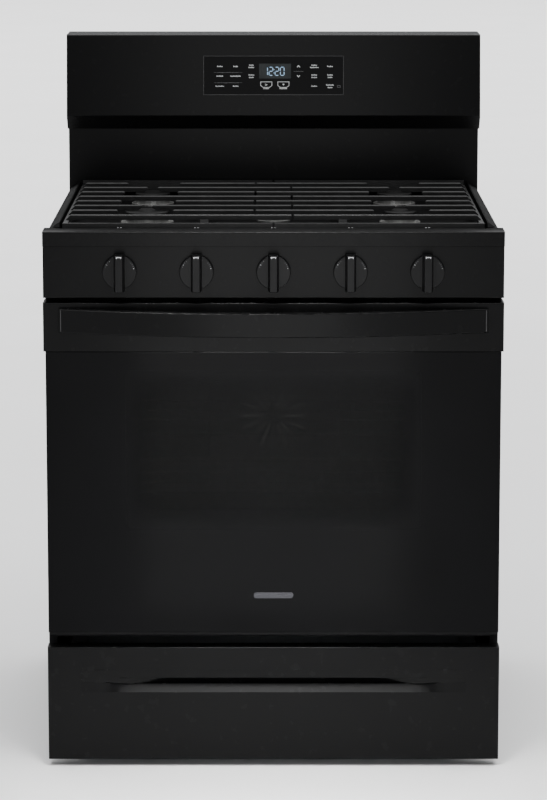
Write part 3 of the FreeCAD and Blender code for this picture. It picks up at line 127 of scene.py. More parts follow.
def add_floor():
    side = 60.0
    corners = [(-side, -side, 0), (side, -side, 0), (side, side, 0), (-side, side, 0)]
    mesh = bpy.data.meshes.new("floor")
    mesh.from_pydata(corners, [], [(0, 1, 2, 3)])
    floor = bpy.data.objects.new("floor", mesh)
    bpy.context.scene.collection.objects.link(floor)
    mesh.materials.append(painted("floor_paint", (0.92, 0.92, 0.92), 0.9, specular=0.05, tone=(2.0, 0.015)))


# ---- materials -------------------------------------------------------------------------------------
NEAR_BLACK = (0.0036, 0.0036, 0.0037)
ENAMEL_GLOSS = 0.085                     # specular level of the enamel and the side paint
WINDOW_ALPHA = 0.46                      # how much of the door's window the smoked coating hides
PEEL = [(5.0, 0.05, 0.0003)]             # slow waviness of enamel: scale, strength and depth


class Shader:
    """A node material with one Principled shader and texture coordinates in metres."""

    def __init__(self, name):
        self.material = bpy.data.materials.new(name)
        self.material.use_nodes = True
        self.nodes = self.material.node_tree.nodes
        self.links = self.material.node_tree.links
        self.bsdf = self.nodes["Principled BSDF"]
        self.coords = self.nodes.new("ShaderNodeTexCoord").outputs["Object"]

    def add(self, kind, values=None, **settings):
        node = self.nodes.new(kind)
        for key, value in settings.items():
            setattr(node, key, value)
        for key, value in (values or {}).items():
            if isinstance(value, bpy.types.NodeSocket):
                self.links.new(value, node.inputs[key])
            else:
                node.inputs[key].default_value = value
        return node

    def set(self, **values):
        for key, value in values.items():
            self.bsdf.inputs[key.replace("_", " ")].default_value = value

    def link(self, socket, key):
        self.links.new(socket, self.bsdf.inputs[key])

    def stretched(self, scale):
        return self.add("ShaderNodeMapping", {"Vector": self.coords, "Scale": scale}).outputs["Vector"]

    def noise(self, scale, detail=3.0, vector=None):
        values = {"Vector": vector or self.coords, "Scale": scale, "Detail": detail}
        return self.add("ShaderNodeTexNoise", values).outputs["Fac"]

    def multiply(self, first, second):
        return self.add("ShaderNodeMath", {0: first, 1: second}, operation="MULTIPLY").outputs[0]

    def span(self, socket, low, high, start=0.3, stop=0.7):
        values = {"Value": socket, "From Min": start, "From Max": stop, "To Min": low, "To Max": high}
        return self.add("ShaderNodeMapRange", values).outputs["Result"]

    def blend(self, factor, first, second):
        node = self.add("ShaderNodeMix", {"Factor": factor}, data_type="RGBA")
        node.inputs["A"].default_value = (*first, 1.0)
        node.inputs["B"].default_value = (*second, 1.0)
        return node.outputs["Result"]

    def bump(self, height, strength, distance, before=None):
        values = {"Height": height, "Strength": strength, "Distance": distance}
        if before:
            values["Normal"] = before
        return self.add("ShaderNodeBump", values).outputs["Normal"]


def shade(colour, amount):
    return tuple(min(1.0, c * amount) for c in colour)


def painted(name, colour, rough, specular=0.5, metallic=0.0,
            tone=(9.0, 0.12), rough_tone=(14.0, 0.12), peel=()):
    """Paint, enamel, plastic or plain metal. tone and rough_tone are (scale, amount) of a slow
    variation; peel lists (scale, strength, depth) of bumps."""
    s = Shader(name)
    scale, amount = tone
    darker, lighter = shade(colour, 1 - amount), shade(colour, 1 + amount)
    s.link(s.blend(s.span(s.noise(scale), 0.0, 1.0), darker, lighter), "Base Color")
    scale, amount = rough_tone
    s.link(s.span(s.noise(scale, 5.0), rough * (1 - amount), rough * (1 + amount)), "Roughness")
    s.set(Metallic=metallic, Specular_IOR_Level=specular)
    normal = None
    for bump_scale, strength, depth in peel:
        normal = s.bump(s.noise(bump_scale, 2.0), strength, depth, normal)
    if normal:
        s.link(normal, "Normal")
    return s.material


def deck_enamel(name, colour):
    """Glossy at the front lip; matt on the cooktop behind it, where heat and scouring dull it."""
    s = Shader(name)
    depth = s.add("ShaderNodeSeparateXYZ", {"Vector": s.coords}).outputs["Y"]
    start, stop = LIP_LOW[1] + 2 * MM, LIP_LOW[1] + 30 * MM
    s.link(s.blend(s.span(s.noise(40.0), 0.0, 1.0), shade(colour, 0.92), shade(colour, 1.08)), "Base Color")
    fine = s.span(s.noise(60.0, 5.0), 0.92, 1.08)
    s.link(s.multiply(s.span(depth, 0.27, 0.55, start, stop), fine), "Roughness")
    s.link(s.span(depth, ENAMEL_GLOSS, 0.03, start, stop), "Specular IOR Level")
    s.link(s.bump(s.noise(900.0, 2.0), 0.06, 0.00006), "Normal")
    return s.material


def speckled(name, colour, speck, rough):
    """Oven enamel: glassy ground with fine light specks."""
    s = Shader(name)
    cells = s.add("ShaderNodeTexVoronoi", {"Vector": s.coords, "Scale": 420.0, "Randomness": 1.0})
    dots = s.span(cells.outputs["Distance"], 1.0, 0.0, 0.10, 0.22)
    patches = s.span(s.noise(130.0), 0.0, 1.0, 0.45, 0.6)
    s.link(s.blend(s.multiply(dots, patches), colour, speck), "Base Color")
    s.link(s.span(s.noise(25.0, 5.0), rough * 0.8, rough * 1.25), "Roughness")
    s.link(s.bump(s.noise(260.0, 2.0), 0.25, 0.0002), "Normal")
    return s.material


def galvanised(name, colour, rough):
    """Zinc-coated sheet with its patchwork of crystals."""
    s = Shader(name)
    cells = s.add("ShaderNodeTexVoronoi", {"Vector": s.coords, "Scale": 150.0, "Randomness": 1.0})
    grey = s.add("ShaderNodeRGBToBW", {"Color": cells.outputs["Color"]}).outputs["Val"]
    s.link(s.blend(grey, shade(colour, 0.93), shade(colour, 1.05)), "Base Color")
    s.link(s.span(grey, rough * 0.92, rough * 1.1, 0.0, 1.0), "Roughness")
    s.link(s.bump(s.noise(500.0, 3.0), 0.15, 0.0001), "Normal")
    s.set(Metallic=0.9)
    return s.material


def brushed(name, colour, rough, grain=(30.0, 900.0, 900.0)):
    """Metal with fine lines along its smallest scale."""
    s = Shader(name)
    lines = s.noise(1.0, 4.0, s.stretched(grain))
    s.link(s.blend(s.span(lines, 0.0, 1.0), shade(colour, 0.85), shade(colour, 1.1)), "Base Color")
    s.link(s.span(lines, rough * 0.7, rough * 1.4), "Roughness")
    s.link(s.bump(lines, 0.3, 0.0001), "Normal")
    s.set(Metallic=1.0)
    return s.material


def cast(name, colour, rough, grain=900.0, specular=0.45):
    """Cast iron under matt enamel: pitted, with softer patches."""
    s = Shader(name)
    patches = s.span(s.noise(60.0, 4.0), 0.0, 1.0)
    s.link(s.blend(patches, shade(colour, 0.75), shade(colour, 1.3)), "Base Color")
    s.link(s.span(s.noise(140.0, 5.0), rough * 0.8, rough * 1.2), "Roughness")
    coarse = s.bump(s.noise(grain * 0.3, 2.0), 0.35, 0.0004)
    s.link(s.bump(s.noise(grain, 3.0), 0.5, 0.0002, coarse), "Normal")
    s.set(Specular_IOR_Level=specular)
    return s.material


def fibrous(name, colour):
    """Glass wool: long pale fibres."""
    s = Shader(name)
    fibres = s.noise(1.0, 8.0, s.stretched((60.0, 60.0, 900.0)))
    s.link(s.blend(s.span(fibres, 0.0, 1.0), shade(colour, 0.6), shade(colour, 1.15)), "Base Color")
    s.link(s.span(s.noise(30.0), 0.85, 1.0), "Roughness")
    s.link(s.bump(fibres, 0.9, 0.002), "Normal")
    return s.material


def woven(name, colour):
    """Braided seal: two crossing families of strands."""
    s = Shader(name)
    waves = []
    for turn in (35.0, -35.0):
        turned = {"Vector": s.coords, "Rotation": (0.0, math.radians(turn), 0.0)}
        along = s.add("ShaderNodeMapping", turned).outputs["Vector"]
        wave = s.add("ShaderNodeTexWave", {"Vector": along, "Scale": 90.0, "Distortion": 0.6})
        waves.append(wave.outputs["Fac"])
    weave = s.multiply(*waves)
    s.link(s.blend(weave, shade(colour, 0.5), shade(colour, 1.4)), "Base Color")
    s.link(s.span(s.noise(80.0), 0.8, 0.95), "Roughness")
    s.link(s.bump(weave, 0.9, 0.0012), "Normal")
    return s.material


def clear(name, colour, alpha, rough=0.04):
    """Clear sheet with faint wipe marks."""
    s = Shader(name)
    s.link(s.blend(s.span(s.noise(7.0, 5.0), 0.0, 1.0), shade(colour, 0.9), colour), "Base Color")
    s.link(s.span(s.noise(11.0, 6.0), rough * 0.5, rough * 1.8), "Roughness")
    s.set(Alpha=alpha, IOR=1.5)
    return s.material


def box_mask(s, low, high, soft):
    """1 inside a box of the object's X and Z, falling to 0 over a soft edge."""
    parts = s.add("ShaderNodeSeparateXYZ", {"Vector": s.coords}).outputs
    product = None
    for axis, start, stop in (("X", low[0], high[0]), ("Z", low[2], high[2])):
        for edge, inward in ((start, 1.0), (stop, -1.0)):
            ramp = s.span(parts[axis], 0.0, 1.0, edge, edge + inward * soft)
            if product is None:
                product = ramp
            else:
                product = s.multiply(product, ramp)
    return product


def oven_glass(name):
    """Black-backed outer pane: opaque border, smoked window."""
    s = Shader(name)
    low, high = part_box("door_inner_glass")
    mask = box_mask(s, low, high, 0.05)
    patches = s.span(s.noise(5.0), 0.0, 1.0)
    s.link(s.blend(patches, (0.0018, 0.0018, 0.002), (0.0026, 0.0026, 0.003)), "Base Color")
    s.link(s.span(s.noise(9.0, 6.0), 0.15, 0.20), "Roughness")
    s.link(s.span(mask, 1.0, WINDOW_ALPHA, 0.0, 1.0), "Alpha")
    s.link(s.bump(s.noise(3.0, 1.0), 0.05, 0.0004), "Normal")
    s.set(Specular_IOR_Level=0.062)
    return s.material


def glowing(name, colour, strength):
    """A lit display element or a lamp, a little uneven."""
    s = Shader(name)
    s.link(s.blend(s.span(s.noise(300.0), 0.0, 1.0), shade(colour, 0.85), colour), "Emission Color")
    s.link(s.span(s.noise(200.0), 0.3, 0.5), "Roughness")
    s.set(Base_Color=(0.02, 0.03, 0.04, 1.0), Emission_Strength=strength)
    return s.material


def make_materials():
    """One finish for each slot of the record."""
    return {
        "black_enamel": painted("black_enamel_paint", NEAR_BLACK, 0.27, specular=ENAMEL_GLOSS,
                                tone=(40.0, 0.03), rough_tone=(60.0, 0.02), peel=PEEL),
        "black_paint": painted("side_paint", (0.005, 0.005, 0.0052), 0.36, specular=ENAMEL_GLOSS,
                               tone=(60.0, 0.08), rough_tone=(90.0, 0.08), peel=[(700.0, 0.22, 0.0002)]),
        "dark_enamel": painted("frame_enamel", (0.004, 0.004, 0.0042), 0.34, specular=ENAMEL_GLOSS,
                               tone=(40.0, 0.08), rough_tone=(60.0, 0.05), peel=PEEL),
        "oven_enamel": speckled("oven_speckle", (0.018, 0.021, 0.030), (0.30, 0.33, 0.38), 0.34),
        "zinc_steel": galvanised("zinc_sheet", (0.42, 0.43, 0.44), 0.38),
        "aluminised_steel": brushed("aluminised_sheet", (0.46, 0.45, 0.43), 0.42),
        "pipe_steel": painted("pipe_black", (0.05, 0.05, 0.05), 0.5, metallic=0.6),
        "rack_chrome": painted("rack_chrome_plate", (0.80, 0.80, 0.81), 0.14, metallic=1.0,
                               tone=(60.0, 0.04), rough_tone=(80.0, 0.1), peel=[(120.0, 0.03, 0.0001)]),
        "burner_aluminium": brushed("burner_cast", (0.42, 0.42, 0.41), 0.40, (500.0, 500.0, 40.0)),
        "valve_aluminium": painted("valve_cast", (0.55, 0.55, 0.56), 0.45, metallic=1.0,
                                   peel=[(500.0, 0.3, 0.0002)]),
        "badge_metal": brushed("badge_face", (0.05, 0.05, 0.055), 0.30),
        "stem_brass": brushed("stem_turned", (0.70, 0.52, 0.22), 0.3, (900.0, 60.0, 900.0)),
        "cap_enamel": cast("cap_matt", (0.008, 0.008, 0.008), 0.5, 1500.0, 0.15),
        "grate_iron": cast("grate_matt", (0.010, 0.010, 0.010), 0.46, specular=0.32),
        "ceramic": painted("electrode_glaze", (0.80, 0.77, 0.72), 0.3, tone=(200.0, 0.06)),
        "glass_wool": fibrous("wool", (0.72, 0.64, 0.36)),
        "gasket_weave": woven("seal_braid", (0.09, 0.09, 0.09)),
        "lamp_glass": glowing("lamp_dome", (1.0, 0.86, 0.66), 2.5),
        "clear_glass": clear("barrier_pane", (0.02, 0.022, 0.021), 0.12),
        "black_glass": oven_glass("smoked_glass"),
        "touch_glass": painted("touch_face", (0.0016, 0.0016, 0.0018), 0.2, specular=0.05, tone=(30.0, 0.1)),
        "board": painted("board_green", (0.012, 0.09, 0.035), 0.45, tone=(60.0, 0.25)),
        "gland_nylon": painted("gland_moulded", (0.016, 0.016, 0.016), 0.55, peel=[(900.0, 0.3, 0.0002)]),
        "leg_plastic": painted("leg_moulded", (0.016, 0.016, 0.016), 0.6, peel=[(700.0, 0.3, 0.0002)]),
        "knob_plastic": painted("knob_moulded", (0.0035, 0.0035, 0.0037), 0.33, specular=0.13,
                                tone=(60.0, 0.1), peel=[(1400.0, 0.25, 0.0001)]),
    }


def make_finishes():
    """Materials of the small pieces that no CAD node shows."""
    return {
        "print": painted("print_white", (0.62, 0.63, 0.64), 0.5, tone=(400.0, 0.08)),
        "faint_print": painted("print_grey", (0.10, 0.10, 0.105), 0.5, tone=(400.0, 0.1)),
        # also paints the lighter beads at the handle's ends, which are mostly a painted highlight
        "border_print_and_highlight": painted("panel_border_and_highlight_grey", (0.034, 0.034, 0.035), 0.4, tone=(60.0, 0.2)),
        "clock_window": painted("clock_smoke", (0.020, 0.023, 0.024), 0.3, specular=0.1, tone=(50.0, 0.3)),
        "plate": brushed("rating_plate_foil", (0.52, 0.52, 0.53), 0.4),
        "lit": glowing("clock_glow", (0.42, 0.66, 0.95), 1.1),
        "zinc": painted("zinc_plate", (0.55, 0.56, 0.58), 0.35, metallic=1.0, tone=(300.0, 0.1),
                        peel=[(900.0, 0.2, 0.0001)]),
    }


def dress_nodes(materials):
    """Gives every CAD node the finish of its slot."""
    slots = {part["node"]: part["material_slot"] for part in frame["record"]["subparts"]}
    for name, node in NODES.items():
        node.data.materials.clear()
        node.data.materials.append(materials[slots[name]])
    NODES["cooktop_deck"].data.materials[0] = deck_enamel("cooktop_enamel", NEAR_BLACK)


# ---- building pieces -------------------------------------------------------------------------------
def in_metres(points):
    """Points given in millimetres, as points in metres."""
    return [(a * MM, b * MM) for a, b in points]


def piece(name, bm, material, body="range_body", place=None, bevel=0.0, smooth=False):
    """Turns a bmesh into a piece that rides a body. bevel rounds its edges by that many metres."""
    if place is not None:
        bm.transform(place)
    bmesh.ops.recalc_face_normals(bm, faces=bm.faces)
    mesh = bpy.data.meshes.new(name)
    bm.to_mesh(mesh)
    bm.free()
    for face in mesh.polygons:
        face.use_smooth = smooth
    mesh.materials.append(material)
    obj = bpy.data.objects.new(name, mesh)
    bpy.context.scene.collection.objects.link(obj)
    if bevel:
        rounding = obj.modifiers.new("rounding", "BEVEL")
        rounding.width = bevel
        rounding.segments = 2
        rounding.limit_method = "ANGLE"
    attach(obj, body)
    return obj


def add_slab(bm, outline, depth, start=0.0):
    """An outline of (x, z) points, extruded along Y from start."""
    front = [bm.verts.new((x, start, z)) for x, z in outline]
    back = [bm.verts.new((x, start + depth, z)) for x, z in outline]
    bm.faces.new(front)
    bm.faces.new(back[::-1])
    add_walls(bm, front, back)


def add_walls(bm, first, second):
    """Quads between two closed loops of the same length."""
    count = len(first)
    for i in range(count):
        j = (i + 1) % count
        bm.faces.new((first[i], second[i], second[j], first[j]))


def offset_points(points, amount, closed):
    """The points moved sideways by amount, with mitred corners."""
    moved = []
    count = len(points)
    for i, (x, z) in enumerate(points):
        sides = []
        for a, b in ((i - 1, i), (i, i + 1)):
            if closed or (a >= 0 and b < count):
                ax, az = points[a % count]
                bx, bz = points[b % count]
                length = math.hypot(bx - ax, bz - az)
                sides.append((-(bz - az) / length, (bx - ax) / length))
        nx = sum(n[0] for n in sides) / len(sides)
        nz = sum(n[1] for n in sides) / len(sides)
        square = nx * nx + nz * nz
        moved.append((x + amount * nx / square, z + amount * nz / square))
    return moved


def add_stroke(bm, points, width, depth, closed=False, start=0.0):
    """A flat line of the given width along the points."""
    left = offset_points(points, width / 2, closed)
    right = offset_points(points, -width / 2, closed)
    if not closed:
        add_slab(bm, left + right[::-1], depth, start)
        return
    loops = []
    for outline in (left, right):
        for y in (start, start + depth):
            loops.append([bm.verts.new((x, y, z)) for x, z in outline])
    add_walls(bm, loops[0], loops[1])
    add_walls(bm, loops[1], loops[3])
    add_walls(bm, loops[3], loops[2])
    add_walls(bm, loops[2], loops[0])


def add_turned(bm, profile, sides, at=(0.0, 0.0, 0.0)):
    """A closed (radius, height) profile turned about an upright axis. A first or last radius of 0
    closes the end."""
    rings = []
    for radius, height in profile:
        if radius == 0.0:
            rings.append([bm.verts.new((at[0], at[1], at[2] + height))])
            continue
        ring = []
        for i in range(sides):
            angle = 2 * math.pi * i / sides
            x, y = at[0] + radius * math.cos(angle), at[1] + radius * math.sin(angle)
            ring.append(bm.verts.new((x, y, at[2] + height)))
        rings.append(ring)
    for low, high in zip(rings, rings[1:]):
        for i in range(sides):
            j = (i + 1) % sides
            if len(low) == 1:
                bm.faces.new((low[0], high[j], high[i]))
            elif len(high) == 1:
                bm.faces.new((low[i], low[j], high[0]))
            else:
                bm.faces.new((low[i], low[j], high[j], high[i]))


def capsule(x, z, width, height, steps=5):
    """Outline of a bar with round ends."""
    return rounded_outline(x, z, width, height, min(width, height) / 2, steps)


def rounded_outline(x, z, width, height, radius, steps=5):
    """Outline of a rectangle with round corners, its middle at x, z."""
    points = []
    for side, up, first in ((1, 1, 0), (-1, 1, 90), (-1, -1, 180), (1, -1, 270)):
        cx, cz = x + side * (width / 2 - radius), z + up * (height / 2 - radius)
        for i in range(steps):
            angle = math.radians(first + 90.0 * i / (steps - 1))
            points.append((cx + radius * math.cos(angle), cz + radius * math.sin(angle)))
    return clean_outline(points)


def clean_outline(points):
    """The outline without points that repeat the one before."""
    kept = []
    for p in points:
        if not kept or math.hypot(p[0] - kept[-1][0], p[1] - kept[-1][1]) > 1e-6:
            kept.append(p)
    if math.hypot(kept[0][0] - kept[-1][0], kept[0][1] - kept[-1][1]) < 1e-6:
        kept.pop()
    return kept


# ---- printed marks and display ---------------------------------------------------------------------
CONSOLE_TILT = 7.03                      # degrees that the console's face leans back
CONSOLE_MIDDLE = (0.0, 263.5 * MM, 1115.0 * MM)
GLASS_FACE = 0.8 * MM                    # the touch glass lies this far behind the console's face
PRINT_DEPTH = 0.12 * MM
PRINT_START = GLASS_FACE - PRINT_DEPTH - 0.02 * MM
SEGMENTS = {"0": "abcdef", "1": "bc", "2": "abged"}
CLOCK = (("1", -14.3), ("2", -4.6), ("2", 6.3), ("0", 15.9))   # digit and its middle, in millimetres
CLOCK_WINDOW = (2.8, 7.8, 58.0, 27.0, 1.0)   # middle, width, height and corner radius, in millimetres
CLOCK_Z, COLON_X = 7.4, 0.8
COLON_HALF, COLON_DOT = 3.0, 1.5         # half the distance between the colon's dots, and their size
PANEL_HALF = (127.2, 35.2)               # half the width and height of the line round the touch keys
LEGENDS = (                              # middle and width of each key's legend, in millimetres
    (-97.7, 16.4, 10.0), (-69.0, 16.4, 9.0),
    (-97.7, -1.2, 11.5), (-69.0, -1.2, 18.5),
    (-97.7, -19.5, 16.0), (-69.0, -19.5, 10.0),
    (-40.4, 18.7, 8.5), (-40.4, 14.5, 10.5),
    (-40.2, 0.9, 10.0), (-40.2, -3.6, 9.5),
    (74.2, 18.7, 10.5), (74.2, 14.5, 15.5), (102.8, 16.4, 10.0),
    (74.2, 0.9, 10.5), (74.2, -3.6, 10.0), (102.8, 0.9, 10.5), (102.8, -3.6, 9.5),
    (74.2, -19.5, 10.5), (102.8, -17.4, 14.0), (102.8, -22.0, 9.0),
    (-13.2, -23.7, 11.0), (17.9, -23.7, 13.5))


def console_place():
    return Matrix.Translation(Vector(CONSOLE_MIDDLE)) @ Matrix.Rotation(math.radians(-CONSOLE_TILT), 4, "X")


def add_print(bm, outline):
    """A printed shape on the touch glass, given in millimetres from the panel's middle."""
    add_slab(bm, in_metres(outline), PRINT_DEPTH, PRINT_START)


def add_print_line(bm, points, width, closed=False):
    """A printed line of the given width in millimetres on the touch glass."""
    add_stroke(bm, in_metres(points), width * MM, PRINT_DEPTH, closed, PRINT_START)


def add_legend(bm, x, z, width, height=2.6):
    """A plain run of short strokes that stands for a word, with no letters in it."""
    pitch = 1.75
    count = max(2, round(width / pitch))
    for i in range(count):
        tall = height if i % 3 == 0 else height * 0.74
        add_print(bm, capsule(x + (i - (count - 1) / 2) * pitch, z - (height - tall) / 2, 1.2, tall, 3))


def add_digit(bm, x, z, name, width=6.8, height=14.8, thick=1.3):
    """One seven-segment digit with its middle at x, z."""
    w, h, cut = width / 2, height / 2, thick * 0.55
    lines = {"a": ((-w, h), (w, h)), "d": ((-w, -h), (w, -h)), "g": ((-w, 0), (w, 0)),
             "b": ((w, h), (w, 0)), "c": ((w, 0), (w, -h)), "f": ((-w, h), (-w, 0)), "e": ((-w, 0), (-w, -h))}
    for key in SEGMENTS[name]:
        (ax, az), (bx, bz) = lines[key]
        length = math.hypot(bx - ax, bz - az)
        ux, uz = (bx - ax) / length, (bz - az) / length
        tip, reach = length - 2 * cut, thick / 2
        outline = ((0, 0), (reach, reach), (tip - reach, reach),
                   (tip, 0), (tip - reach, -reach), (reach, -reach))
        start_x, start_z = x + ax + ux * cut, z + az + uz * cut
        add_print(bm, [(start_x + ux * a - uz * b, start_z + uz * a + ux * b) for a, b in outline])


def build_display(finish):
    """Everything printed or lit on the touch glass."""
    place = console_place()
    build_border(finish, place)
    build_clock(finish, place)
    build_legends(finish, place)
    build_notes(finish, place)
    build_icons(finish, place)


def build_border(finish, place):
    """A thin grey line round the touch keys."""
    half, tall = PANEL_HALF
    bm = bmesh.new()
    add_print_line(bm, [(-half, -tall), (half, -tall), (half, tall), (-half, tall)], 0.7, closed=True)
    piece("panel_border", bm, finish["border_print_and_highlight"], place=place)


def build_clock(finish, place):
    """The clock's window with four lit digits and a colon."""
    bm = bmesh.new()
    add_print(bm, rounded_outline(*CLOCK_WINDOW))
    window = piece("clock_window", bm, finish["clock_window"], place=place)
    window.location = place.to_3x3() @ Vector((0.0, 0.01 * MM, 0.0))
    bm = bmesh.new()
    for name, x in CLOCK:
        add_digit(bm, x, CLOCK_Z, name)
    for side in (1, -1):
        add_print(bm, capsule(COLON_X, CLOCK_Z + side * COLON_HALF, COLON_DOT, COLON_DOT, 4))
    digits = piece("clock_digits", bm, finish["lit"], place=place)
    digits.location = place.to_3x3() @ Vector((0.0, -0.08 * MM, 0.0))


def build_legends(finish, place):
    """The words on the touch keys, as plain strokes."""
    words = bmesh.new()
    for x, z, width in LEGENDS:
        add_legend(words, x, z, width)
    piece("panel_legends", words, finish["print"], place=place)


def build_notes(finish, place):
    """Faint rules and small print between the rows of keys, and a frame at the lower right."""
    faint = bmesh.new()
    for z in (5.2, -13.4):
        add_print_line(faint, [(-108.0, z), (-103.5, z)], 0.45)
        add_print_line(faint, [(-61.5, z), (-57.0, z)], 0.45)
        for i in range(22):
            add_print(faint, capsule(-101.5 + 1.82 * i, z, 1.1, 1.3, 3))
    for i in range(10):
        add_print(faint, capsule(37.4 + 1.8 * i, 7.2, 1.1, 1.3, 3))
    add_print_line(faint, [(116.3, -18.4), (121.5, -18.4), (121.5, -21.6), (116.3, -21.6)], 0.6, closed=True)
    piece("panel_notes", faint, finish["faint_print"], place=place)


def build_icons(finish, place):
    """Up and down arrows, and two shield-shaped keys with a mark in each."""
    icons = bmesh.new()
    for z, way in ((16.2, 1), (-1.2, -1)):
        add_print_line(icons, [(42.9, z - 1.3 * way), (45.5, z + 1.5 * way), (48.1, z - 1.3 * way)], 1.25)
    shield = ((-10.2, -11.8), (-10.2, -18.6), (-5.6, -21.8), (5.6, -21.8), (10.2, -18.6), (10.2, -11.8))
    for x in (-13.1, 18.1):
        add_print_line(icons, [(x + across, z) for across, z in shield], 0.85, closed=True)
    add_print(icons, [(15.9, -15.4), (20.3, -15.4), (18.1, -18.6)])
    add_print_line(icons, [(-15.6, -15.6), (-11.6, -17.0), (-15.0, -18.6)], 0.8)
    piece("panel_icons", icons, finish["print"], place=place)


SCALE_MARKS = (16, 24, 32, 40, 131, 140, 149, 158)   # degrees round the knob, from its right
BRIGHT_MARKS = (16, 149)
SKIRT_FACE = 10.0 * MM                   # how far the knob's skirt stands before the control panel
SCALE_INSET = 2.6 * MM                   # from the skirt's edge to the marks
MARK_LENGTH = 1.6 * MM


def build_knob_marks(finish):
    """A white pointer at the top of each grip, and setting marks round the rim of its skirt."""
    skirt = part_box(KNOBS[0])
    face = FRONT_Y - SKIRT_FACE
    rim = (skirt[1][0] - skirt[0][0]) / 2 - SCALE_INSET
    for name in KNOBS:
        centre = middle(name)
        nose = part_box(name)[0][1]
        bm = bmesh.new()
        add_slab(bm, capsule(0.0, 27.9 * MM, 9.0 * MM, 1.1 * MM), 0.35 * MM, -0.30 * MM)
        for x in (-3.6, 3.6):
            add_slab(bm, capsule(x * MM, 26.4 * MM, 1.0 * MM, 1.6 * MM), 0.35 * MM, -0.30 * MM)
        place = Matrix.Translation((centre.x, nose, centre.z))
        piece(name + "_pointer", bm, finish["print"], body=name, place=place)
        bright = bmesh.new()
        faint = bmesh.new()
        for degrees in SCALE_MARKS:
            angle = math.radians(degrees)
            ends = [(reach * math.cos(angle), reach * math.sin(angle)) for reach in (rim, rim - MARK_LENGTH)]
            add_stroke(bright if degrees in BRIGHT_MARKS else faint, ends, 0.7 * MM, 0.16 * MM)
        place = Matrix.Translation((centre.x, face - 0.15 * MM, centre.z))
        piece(name + "_mark", bright, finish["print"], body=name, place=place)
        piece(name + "_scale", faint, finish["faint_print"], body=name, place=place)


def build_handle_ends(finish):
    """Lighter grey beads where the handle's end caps meet the bar: partly a parting line, mostly a painted
    highlight for light caught on the caps' rounded edges.
    """
    low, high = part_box("door_handle")
    tall = high[2] - low[2] - 4.4 * MM
    bm = bmesh.new()
    for side in (-1, 1):
        outline = capsule(side * (high[0] - 3.4 * MM), (low[2] + high[2]) / 2, 0.9 * MM, tall)
        add_slab(bm, outline, 1.2 * MM, FRONT_Y - 9.1 * MM)
    # their grey, far lighter than the handle, is mostly a painted highlight on the end caps' edges
    piece("handle_end_highlight_beads", bm, finish["border_print_and_highlight"], body="oven_door")


def build_burner_icons(finish):
    """Pairs of dots on the cooktop's lip that show which burner each knob turns."""
    dot = in_metres(((0.0, 0.0), (1.3, 0.0), (1.3, 0.12), (1.1, 0.18), (0.0, 0.18)))
    bm = bmesh.new()
    for name in KNOBS:
        for side in (-1, 1):
            x = middle(name).x + side * 2.6 * MM
            add_turned(bm, dot, 16, (x, FRONT_Y + 6.0 * MM, LIP_HIGH[2] + 0.01 * MM))
    piece("burner_icons", bm, finish["print"])


# ---- fasteners and small fittings ------------------------------------------------------------------
def standing(at, facing):
    """The place of a small mesh, built standing on Z = 0, whose foot is at a point, its top along facing."""
    return Matrix.Translation(Vector(at)) @ Vector(facing).to_track_quat("Z", "Y").to_matrix().to_4x4()


def add_part(bm, part, place):
    """Adds a small mesh, moved to its place, to a larger one."""
    part.transform(place)
    spare = bpy.data.meshes.new("spare")
    part.to_mesh(spare)
    part.free()
    bm.from_mesh(spare)
    bpy.data.meshes.remove(spare)


def add_hex_screw(bm, at, facing):
    """Hex washer-head screw, its head standing along facing."""
    washer = ((0.0, 0.0), (4.6, 0.0), (4.8, 0.3), (4.5, 0.8), (3.4, 1.0), (0.0, 1.0))
    head = ((0.0, 0.9), (3.5, 0.9), (3.5, 3.0), (2.9, 3.5), (1.9, 3.5), (1.6, 3.1), (0.0, 3.1))
    part = bmesh.new()
    add_turned(part, in_metres(washer), 28)
    add_turned(part, in_metres(head), 6)
    add_part(bm, part, standing(at, facing))


def add_star_screw(bm, at, facing, radius, tall=1.0 * MM):
    """Low round-headed screw with a six-lobed socket."""
    lobes, sides = 6, 36
    part = bmesh.new()
    rings = []
    for wide, high, lobe in ((1.0, 0.0, 0.0), (0.97, 0.45, 0.0), (0.80, 0.85, 0.0),
                             (0.52, 1.0, 0.0), (0.40, 1.0, 0.2), (0.38, 0.35, 0.2)):
        ring = []
        for i in range(sides):
            angle = 2 * math.pi * i / sides
            reach = radius * wide * (1 + lobe * math.cos(lobes * angle))
            ring.append(part.verts.new((reach * math.cos(angle), reach * math.sin(angle), tall * high)))
        rings.append(ring)
    for low, high in zip(rings, rings[1:]):
        add_walls(part, low, high)
    part.faces.new(rings[0][::-1])
    part.faces.new(rings[-1])
    add_part(bm, part, standing(at, facing))


def add_rivet(bm, at, facing, radius=2.6 * MM, tall=1.1 * MM):
    """Domed blind rivet with the small pit its mandrel leaves."""
    profile = ((0.0, 0.0), (1.0, 0.0), (1.0, 0.25), (0.85, 0.7),
               (0.5, 1.0), (0.28, 1.0), (0.24, 0.5), (0.0, 0.5))
    part = bmesh.new()
    add_turned(part, [(radius * wide, tall * high) for wide, high in profile], 24)
    add_part(bm, part, standing(at, facing))


